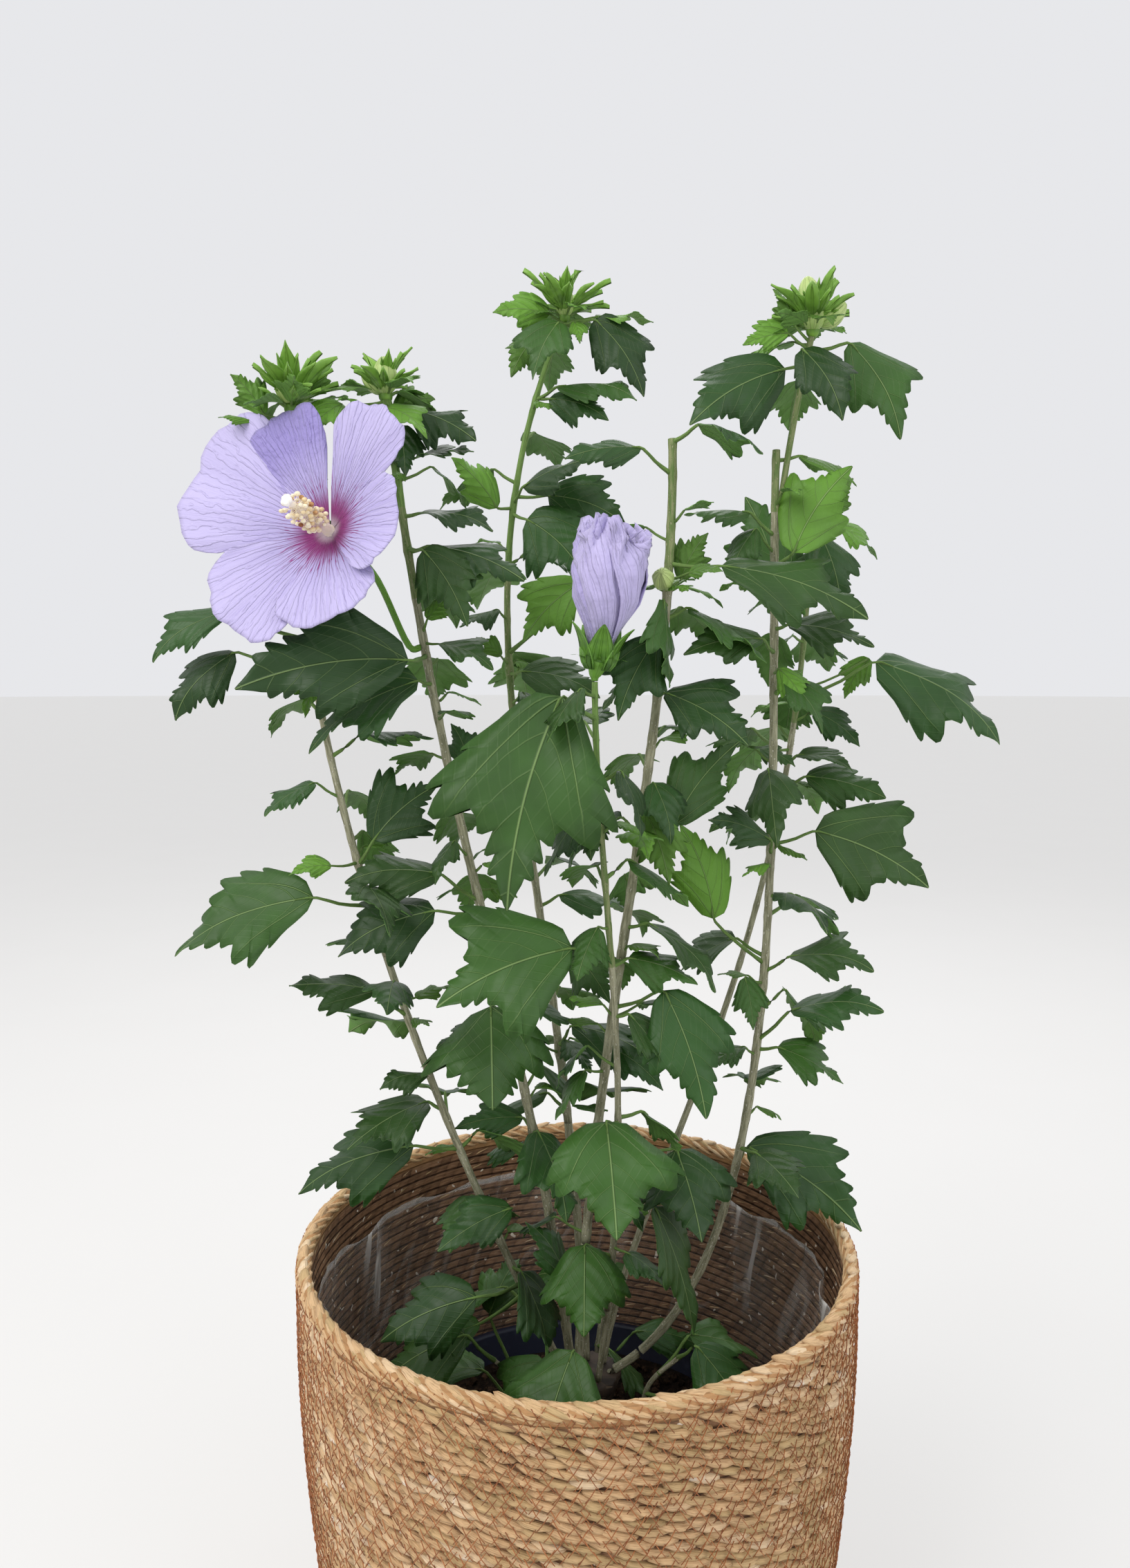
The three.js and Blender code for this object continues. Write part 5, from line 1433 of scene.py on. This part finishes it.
class PieceMaker:
    """What the operators share: each builds its pieces and reports that it is done."""

    bl_options = {"REGISTER", "UNDO"}

    def execute(self, context):
        """Builds the pieces; an error in them is raised."""
        self.build(context.scene)
        return {"FINISHED"}


def added(name, data):
    """A new object in the scene."""
    made = bpy.data.objects.new(name, data)
    bpy.context.collection.objects.link(made)
    return made


# The stage: floor radius in metres, backdrop, lamps by name, place, size, power and colour, the point
# they aim at, and the camera as it was fitted to the photograph
FLOOR_RADIUS, FLOOR_COLOUR = 40, rgb(172, 171, 169)
SKY_COLOUR, SKY_STRENGTH = (0.87, 0.875, 0.90, 1), 0.92
LAMPS = (
    ("key", (-1.1, -1.0, 1.9), 1.3, 26, (1.0, 0.98, 0.95)),
    ("fill", (1.4, -1.2, 1.2), 1.4, 9, (0.95, 0.97, 1.0)),
    ("rear", (0.2, 1.4, 1.8), 1.2, 12, (1.0, 1.0, 1.0)),
)
LAMP_AIM = Vector((0, 0, 0.42))
CAMERA_PLACE, CAMERA_TILT = (-0.006, -0.546, 0.562), 5.40
CAMERA_LENS = 1600 / 2268 * 36


class SHRUB_OT_stage(PieceMaker, bpy.types.Operator):
    """Lays the pale floor and sets the lights and the camera"""

    bl_idname = "shrub.stage"
    bl_label = "Stage"

    def build(self, scene):
        bm = bmesh.new()
        bmesh.ops.create_circle(bm, cap_ends=True, segments=64, radius=FLOOR_RADIUS)
        mesh = bpy.data.meshes.new("floor")
        bm.to_mesh(mesh)
        bm.free()
        mesh.materials.append(plain_paint("floor", FLOOR_COLOUR, 6.0))
        added("floor", mesh)

        world = bpy.data.worlds.new("studio")
        world.use_nodes = True
        sky = world.node_tree.nodes["Background"]
        sky.inputs["Color"].default_value = SKY_COLOUR
        sky.inputs["Strength"].default_value = SKY_STRENGTH
        scene.world = world
        scene.view_settings.view_transform = "Standard"
        for name, place, size, power, colour in LAMPS:
            light = bpy.data.lights.new(name, "AREA")
            light.size, light.energy, light.color = size, power, colour
            lamp = added(name, light)
            lamp.location = place
            lamp.rotation_euler = (LAMP_AIM - Vector(place)).to_track_quat("-Z", "Y").to_euler()

        view = bpy.data.cameras.new("camera")
        view.lens = CAMERA_LENS
        camera = added("camera", view)
        camera.location = CAMERA_PLACE
        camera.rotation_euler = Euler((math.radians(90 - CAMERA_TILT), 0, 0))
        scene.camera = camera


class SHRUB_OT_basket(PieceMaker, bpy.types.Operator):
    """Weaves the basket: wall, rows of strands, rolled rim and stitches"""

    bl_idname = "shrub.basket"
    bl_label = "Basket"

    def wall_profile(self):
        """Ridges underneath, the outer wall, the core of the rim, then a ribbed inside and the floor."""
        profile = [(0, 0)]
        for ring in range(10, BASKET_FOOT_RADIUS - 6, 6):
            profile += [(ring, 0.9), (ring + 3, 0.0)]
        profile += [(BASKET_FOOT_RADIUS - 5, 0)]
        profile += [(basket_radius(z) - 3.1, z) for z in np.arange(3, 266, 9)]
        core = 3.5
        profile += [
            (RIM_RADIUS + core * math.cos(a), RIM_LEVEL + core * math.sin(a))
            for a in np.radians(np.arange(-30, 211, 30))
        ]
        half_row = 2.25
        for z in np.arange(268, 140, -half_row):
            rib = 0.8 if int(round(z / half_row)) % 2 else 0.0
            profile.append((basket_radius(z) - BASKET_WALL + rib, z))
        profile += [(basket_radius(z) - BASKET_WALL, z) for z in (110, 60, BASKET_WALL)]
        return profile + [(0, BASKET_WALL)]

    def build(self, scene):
        detail = scene.shrub_basket
        # Its dark brown also shows in the gaps between the outer strands as painted shade
        wall = wall_paint(
            "basket_wall", dark=rgb(66, 46, 33), light=rgb(160, 122, 92), crown=rgb(176, 134, 92),
            row_pitch=4.5, strand=7.6,
        )
        turned_piece("basket_wall", self.wall_profile(), TURNED_STEPS, wall, ["basket"])
        grass = straw_paint(
            "grass", detail.straw, detail.straw_pale, detail.straw_green, detail.straw_brown,
        )
        spread = np.random.default_rng(WEAVE_SEED)
        lower, upper, rim = Joined("strands_lower"), Joined("strands_upper"), Joined("rim")
        add_strands(lower, detail, 0, WEAVE_SPLIT, spread)
        add_strands(upper, detail, WEAVE_SPLIT, WEAVE_TOP, spread)
        add_rim(rim, spread)
        for woven in (lower, upper, rim):
            woven.piece([grass], "straw", ["basket"])
        thread = Joined("stitches")
        add_stitches(thread, detail, STITCH_TOP, spread)
        cotton = skin_paint("thread", rgb(136, 80, 44), detail.thread, 900.0, 0.6)
        thread.piece([cotton], "straw", ["basket"])


def bearing_of(point):
    """A point's bearing round the upright axis, in degrees from 0 to 360."""
    return math.degrees(math.atan2(point.y, point.x)) % 360


class SHRUB_OT_pots(PieceMaker, bpy.types.Operator):
    """Makes the clear film, the inner pot and its soil"""

    bl_idname = "shrub.pots"
    bl_label = "Film, inner pot and soil"

    # Folds of the film: bearing in degrees, half-width in degrees, and how far they stand in
    folds = (
        (187, 5, 7), (203, 7, 9), (214, 4, 6), (340, 5, 7), (352, 6, 8), (150, 5, 3), (35, 6, 3), (95, 4, 2),
    )
    # The film's thickness, its gap to the basket, the height where its rings of points begin, and the
    # deepest fold that its paint tells apart
    film_thick, film_gap, film_foot, deep_fold = 0.3, 0.9, 60, 7
    # Points of the film nearer to the axis than this lie on its floor and stay flat
    flat_reach = 60

    def fold_depth(self, point):
        """How far the folds stand in at a point, in millimetres."""
        total = 0.0
        for centre, half, depth in self.folds:
            away = (bearing_of(point) - centre - (point.z - 200) * 0.09 + 180) % 360 - 180
            total += depth * math.exp(-((away / half) ** 2)) * float(smooth(point.z, 120, 245))
        return total

    def crease(self, point):
        """The place of a point of the smooth film once it is creased."""
        bearing = bearing_of(point)
        reach = math.hypot(point.x, point.y)
        if reach < self.flat_reach:
            return point
        swing = math.sin(bearing * 0.9 + point.z * 0.06)
        ripple = 0.7 + 0.7 * swing * math.sin(bearing * 0.23 - point.z * 0.09)
        inwards = self.fold_depth(point) + ripple * float(smooth(point.z, 100, 200))
        top = 2.5 * math.sin(bearing * 0.11) + 1.5 * math.sin(bearing * 0.31)
        share = 1 - inwards / reach
        lift = -abs(top) * float(smooth(point.z, 200, LINER_HEIGHT))
        return Vector((point.x * share, point.y * share, point.z + lift))

    def film(self, detail):
        """The film, whose tone marks the folds for its paint."""
        floor, foot = BASKET_WALL + CLEAR, BASKET_FOOT_RADIUS - BASKET_WALL - 1
        heights = np.linspace(LINER_HEIGHT, self.film_foot, 34)[::-1]
        outside = [(basket_radius(z) - BASKET_WALL - self.film_gap, z) for z in heights]
        inside = [(radius - self.film_thick, z) for radius, z in outside[::-1]]
        top = floor + self.film_thick
        profile = [(0, floor), (foot, floor), *outside, *inside, (foot - self.film_thick, top), (0, top)]
        clear = film_paint("film", rgb(238, 234, 230), detail.film_alpha)
        liner = turned_piece("film", profile, FILM_STEPS, clear, ["liner"], self.crease)
        for vert, mark in zip(liner.data.vertices, liner.data.attributes["tone"].data):
            mark.value = min(1, self.fold_depth(vert.co / MM) / self.deep_fold)

    def inner_pot(self, detail):
        """A moulded pot with a rolled lip."""
        foot, wide, rim = NURSERY_FOOT_RADIUS, NURSERY_RADIUS, NURSERY_RIM
        profile = [
            (0, POT_FLOOR), (foot - 2, POT_FLOOR), (foot, POT_FLOOR + 2), (wide - 3, rim - 10),
            (wide - 2.5, rim - 9.4), (wide - 0.6, rim - 9), (wide, rim - 8), (wide, rim - 1.2),
            (wide - 0.8, rim), (wide - 4.4, rim), (wide - 3 - NURSERY_WALL, rim - 1),
            (NURSERY_INSIDE, NURSERY_FLOOR), (0, NURSERY_FLOOR),
        ]
        plastic = plastic_paint("inner_pot", detail.pot, rgb(62, 66, 84))
        turned_piece("inner_pot", profile, TURNED_STEPS, plastic, ["nursery_pot"])

    def soil(self):
        """Soil with an uneven top, and loose crumbs on it."""
        spread = np.random.default_rng(SOIL_SEED)
        waves = spread.uniform(0.05, 0.35, (2, 9))
        phases = spread.uniform(0, PHASES, 9)

        def crumble(point):
            reach = math.hypot(point.x, point.y)
            if point.z < SOIL_LEVEL - 4:
                return point
            bump = np.sin(waves[0] * point.x + waves[1] * point.y + phases).sum() * 0.45
            open_soil = smooth(reach, 18, 34) * (1 - smooth(reach, 97, 101))
            return point + Vector((0, 0, (bump - 0.6) * float(open_soil)))

        foot = NURSERY_FLOOR + CLEAR
        profile = [(0, foot), (NURSERY_INSIDE - 1, foot), (101.5, SOIL_LEVEL - 3), (100.5, SOIL_LEVEL)]
        profile += [(reach, SOIL_LEVEL) for reach in range(96, 0, -4)] + [(0, SOIL_LEVEL)]
        earth = soil_paint("soil", rgb(26, 19, 14), rgb(74, 56, 42))
        turned_piece("compost", profile, SOIL_STEPS, earth, ["soil"], crumble)
        crumbs = Joined("soil_crumbs")
        shape = form(crumb)
        reach, bearing = np.sqrt(spread.uniform(0.05, 0.9, CRUMBS)) * 100, spread.uniform(0, PHASES, CRUMBS)
        size = spread.uniform(0.6, 2.3, CRUMBS) ** 1.3
        dents = spread.uniform(0.6, 1.3, (CRUMBS, len(shape.points), 3))
        knobs = shape.points[None] * size[:, None, None] * dents
        place = round_points(bearing, reach, SOIL_LEVEL + size * 0.3)
        crumbs.add(shape, knobs + place[:, None], None, spread.uniform(0, 1, CRUMBS))
        crumbs.piece([earth], "soil", ["soil"], round_faces=False)

    def build(self, scene):
        self.film(scene.shrub_basket)
        self.inner_pot(scene.shrub_basket)
        self.soil()


class SHRUB_OT_canes(PieceMaker, bpy.types.Operator):
    """Grows the trunk, the canes, the leafy stems and the leaf stalks"""

    bl_idname = "shrub.canes"
    bl_label = "Trunk, canes and stalks"

    def build(self, scene):
        wood = scene.shrub_wood
        barks = [
            bark_paint("bark", wood.bark_dark, wood.bark, pore=rgb(214, 210, 190)),
            bark_paint("olive_bark", wood.green, wood.olive, pore=rgb(178, 176, 138), pores=0.7),
            bark_paint("green_stem", wood.green, rgb(110, 142, 68), pore=rgb(160, 184, 110), pores=0.3),
        ]
        canes = Joined("canes")
        for name in CANES:
            path, radii, shoots = cane_path(name)
            joints = np.arange(CANE_FOOT + FIRST_JOINT, shoots[0], JOINT_PITCH)
            add_limb(canes, name, path, 0, path.share_at(shoots[0]), radii, joints)
        canes.piece(barks, "bark", [f"cane_{name}" for name in CANES])

        stems = Joined("stems")
        lengths = leafy_lengths()
        for length in lengths:
            joints = {round(leaf["joint"][2]) for leaf in length["leaves"]}
            add_limb(stems, length["name"], length["path"], *length["span"], length["radii"], joints)
            for leaf in length["leaves"]:
                add_stalk(stems, leaf)
        add_stem(stems, RIGHT_SHOOT, np.full(40, 1.5), sides=10, slot=OLIVE)
        stems.piece(barks, "leaf", [length["label"] for length in lengths])

        trunk = Joined("trunk_bark")
        rings = 26
        shares = np.linspace(0, 1, rings + 1)
        centres = TRUNK_FOOT + outer(shares, TRUNK_HEAD - TRUNK_FOOT)
        radii = np.interp(shares, *np.array(TRUNK_RADII).T)

        def furrow(ring, turn):
            root = 0.14 * np.cos(turn * 5) * (1 - ring / rings) ** 2
            return root + 0.05 * np.sin(turn * 9 + ring * 0.3) + 0.035 * np.sin(turn * 17 - ring * 0.7)

        ways = np.broadcast_to(UP, centres.shape)
        tube_along(trunk, centres, ways, radii, sides=40, tone=0.2, relief=furrow)
        old = bark_paint("old_bark", rgb(38, 30, 24), wood.trunk, pore=rgb(116, 98, 78), pores=0.6)
        trunk.piece([old], "trunk_bark", ["trunk"])


def blend(first, second, share):
    """A colour that takes that share of the second."""
    return (*[a * (1 - share) + b * share for a, b in zip(first[:3], second[:3])], 1.0)


class SHRUB_OT_leaves(PieceMaker, bpy.types.Operator):
    """Sets out every leaf blade on its stalk"""

    bl_idname = "shrub.leaves"
    bl_label = "Leaves"

    def build(self, scene):
        detail = scene.shrub_leaves
        paints = []
        for name, gloss in (("dark", 0.42), ("mid", 0.45), ("young", 0.5)):
            colour = tuple(getattr(detail, name))
            shade, pale = blend(colour, BLACK, 0.45), blend(colour, detail.under, 0.45)
            paints.append(leaf_paint(f"leaf_{name}", shade, colour, detail.vein, gloss))
            paints.append(leaf_paint(f"leaf_{name}_under", pale, detail.under, detail.vein, 0.6))
        draw = seeded(BLADE_SEED)
        groups = {"leaves_left_side": [], "leaves_right_side": []}
        for length in leafy_lengths():
            side = "leaves_left_side" if length["name"] in LEFT_CANES else "leaves_right_side"
            groups[side].append(length)
        for name, group in groups.items():
            blades = Joined(name)
            for length in group:
                for leaf in length["leaves"]:
                    add_leaf(blades, leaf, detail, leaf_kind(leaf, length, draw), draw)
            blades.piece(paints, "leaf", [length["label"] for length in group])


class SHRUB_OT_tips(PieceMaker, bpy.types.Operator):
    """Sets the bracts and buds on the shoot tips"""

    bl_idname = "shrub.tips"
    bl_label = "Tips and buds"

    def build(self, scene):
        detail = scene.shrub_leaves
        shade = blend(detail.young, BLACK, 0.4)
        paints = [
            ribbed_paint("bract", shade, rgb(132, 178, 62), ribs=3.0),
            ribbed_paint("bract_under", shade, rgb(120, 166, 62), ribs=3.0),
            ribbed_paint("bud", detail.bud, rgb(178, 198, 122), ribs=10.0),
        ]
        tips = Joined("tips")
        extra = seeded(TIP_SEED)
        topped = []
        for length in leafy_lengths():
            for centre, name, draw in length["tips"]:
                add_tip(tips, centre, name, draw, extra)
                topped.append(length["label"])
        rise, bearing, lift, reach, radius = ROUND_BUD
        path = cane_path("middle")[0]
        add_bud(tips, path.at(path.share_at(rise)), direction(bearing, lift), reach, radius, 1.1, extra)
        tips.piece(paints, "leaf", [*topped, "leaves_middle_upper"])


class SHRUB_OT_open_bloom(PieceMaker, bpy.types.Operator):
    """Makes the open bloom: petals, column, calyx and stalk"""

    bl_idname = "shrub.open_bloom"
    bl_label = "Open bloom"

    def build(self, scene):
        detail, green = scene.shrub_blooms, scene.shrub_leaves
        draw = seeded(BLOOM_SEED)
        petals = Joined("petals")
        for petal in PETALS:
            add_petal(petals, petal, detail, draw)
        colours = detail.petal, detail.petal_deep, detail.eye
        petals.piece([petal_paint("petal", *colours, eye_reach=0.27, crumple=0.2)], "petal", ["open_bloom"])
        column = Joined("column")
        add_column(column, draw)
        cream = skin_paint("column", rgb(238, 226, 228), detail.cream, 300.0, 0.55)
        pollen = skin_paint("anthers", rgb(226, 200, 150), detail.cream, 600.0, 0.6)
        spent = skin_paint("spent_anthers", rgb(132, 72, 36), rgb(206, 160, 108), 900.0, 0.7)
        pale = skin_paint("stigma", rgb(232, 222, 206), rgb(250, 246, 238), 500.0, 0.5)
        column.piece([cream, pollen, pale, spent], "petal", ["open_bloom"])
        cup = Joined("bloom_calyx")
        add_calyx(cup, bloom_point(0, 0, -CALYX_DEPTH), BLOOM_FACING, CALYX_LENGTH, spread=0.75, draw=draw)
        path, radii, _ = cane_path("bloom")
        share = path.share_at(BLOOM_JOINT)
        joint, along = path.at(share), path.way(share)
        back = bloom_point(0, 0, -9)
        out = unit(back - joint - along * np.dot(back - joint, along))
        start = joint + out * (radii[0] + (radii[1] - radii[0]) * share + CLEAR)
        bend = start + (back - start) * 0.6 + np.array([0, 4, 4])
        stalk = Spline(start, start + out * 4, bend, back, bloom_point(0, 0, -1))
        add_stem(cup, stalk, taper(30, [0, 0.65, 0.78, 1], [1.6, 1.4, 3.2, 3.6]), sides=10)
        cup.piece([ribbed_paint("calyx", green.mid, green.young, ribs=5.0)], "petal", ["open_bloom"])


class SHRUB_OT_furled_bloom(PieceMaker, bpy.types.Operator):
    """Makes the furled bloom with its calyx"""

    bl_idname = "shrub.furled_bloom"
    bl_label = "Furled bloom"

    def build(self, scene):
        detail, green = scene.shrub_blooms, scene.shrub_leaves
        draw = seeded(FURLED_SEED)
        roll = Joined("furled_petals")
        for number in range(5):
            add_furled_petal(roll, number, draw)
        deep = detail.petal_deep
        paint = petal_paint("furled_petal", detail.petal, deep, deep, eye_reach=0.2, crumple=1.6)
        roll.piece([paint], "furled_petal", ["furled_bloom"])
        cup = Joined("furled_calyx")
        axis = unit(FURLED_TOP - FURLED_FOOT)
        add_calyx(cup, FURLED_FOOT + axis, axis, FURLED_CALYX_LENGTH, spread=0.5, draw=draw)
        path, _, shoots = cane_path("slim")
        end = path.share_at(shoots[1])
        way = path.way(end)
        start = path.at(end) + way * CLEAR
        neck = Spline(start, start + way * 2, FURLED_FOOT + axis * 5)
        add_stem(cup, neck, taper(10, [0, 0.4, 1], [1.4, 1.8, 5]), sides=12)
        skin = ribbed_paint("furled_calyx", green.mid, green.young, ribs=5.0)
        cup.piece([skin], "furled_petal", ["furled_bloom"])


STEPS = (
    SHRUB_OT_stage, SHRUB_OT_basket, SHRUB_OT_pots, SHRUB_OT_canes, SHRUB_OT_leaves, SHRUB_OT_tips,
    SHRUB_OT_open_bloom, SHRUB_OT_furled_bloom,
)
GROUPS = {
    "shrub_leaves": ShrubLeaves, "shrub_blooms": ShrubBlooms, "shrub_basket": ShrubBasket,
    "shrub_wood": ShrubWood,
}


class SHRUB_PT_panel(bpy.types.Panel):
    """The shrub's sizes, colours and pieces"""

    bl_idname = "SHRUB_PT_panel"
    bl_label = "Potted shrub"
    bl_space_type = "VIEW_3D"
    bl_region_type = "UI"
    bl_category = "Shrub"

    def draw(self, context):
        for name, group in GROUPS.items():
            box = self.layout.box()
            for value in group.__annotations__:
                box.prop(getattr(context.scene, name), value)
        for step in STEPS:
            self.layout.operator(step.bl_idname)


def register():
    """Registers the add-on and gives the scene its groups of values."""
    for made in (*GROUPS.values(), *STEPS, SHRUB_PT_panel):
        bpy.utils.register_class(made)
    for name, group in GROUPS.items():
        setattr(bpy.types.Scene, name, bpy.props.PointerProperty(type=group))


def unregister():
    """Takes the add-on out again."""
    for name in GROUPS:
        delattr(bpy.types.Scene, name)
    for made in reversed((*GROUPS.values(), *STEPS, SHRUB_PT_panel)):
        bpy.utils.unregister_class(made)


def main():
    register()
    for step in STEPS:
        family, name = step.bl_idname.split(".")
        getattr(getattr(bpy.ops, family), name)()


if __name__ == "__main__":
    main()
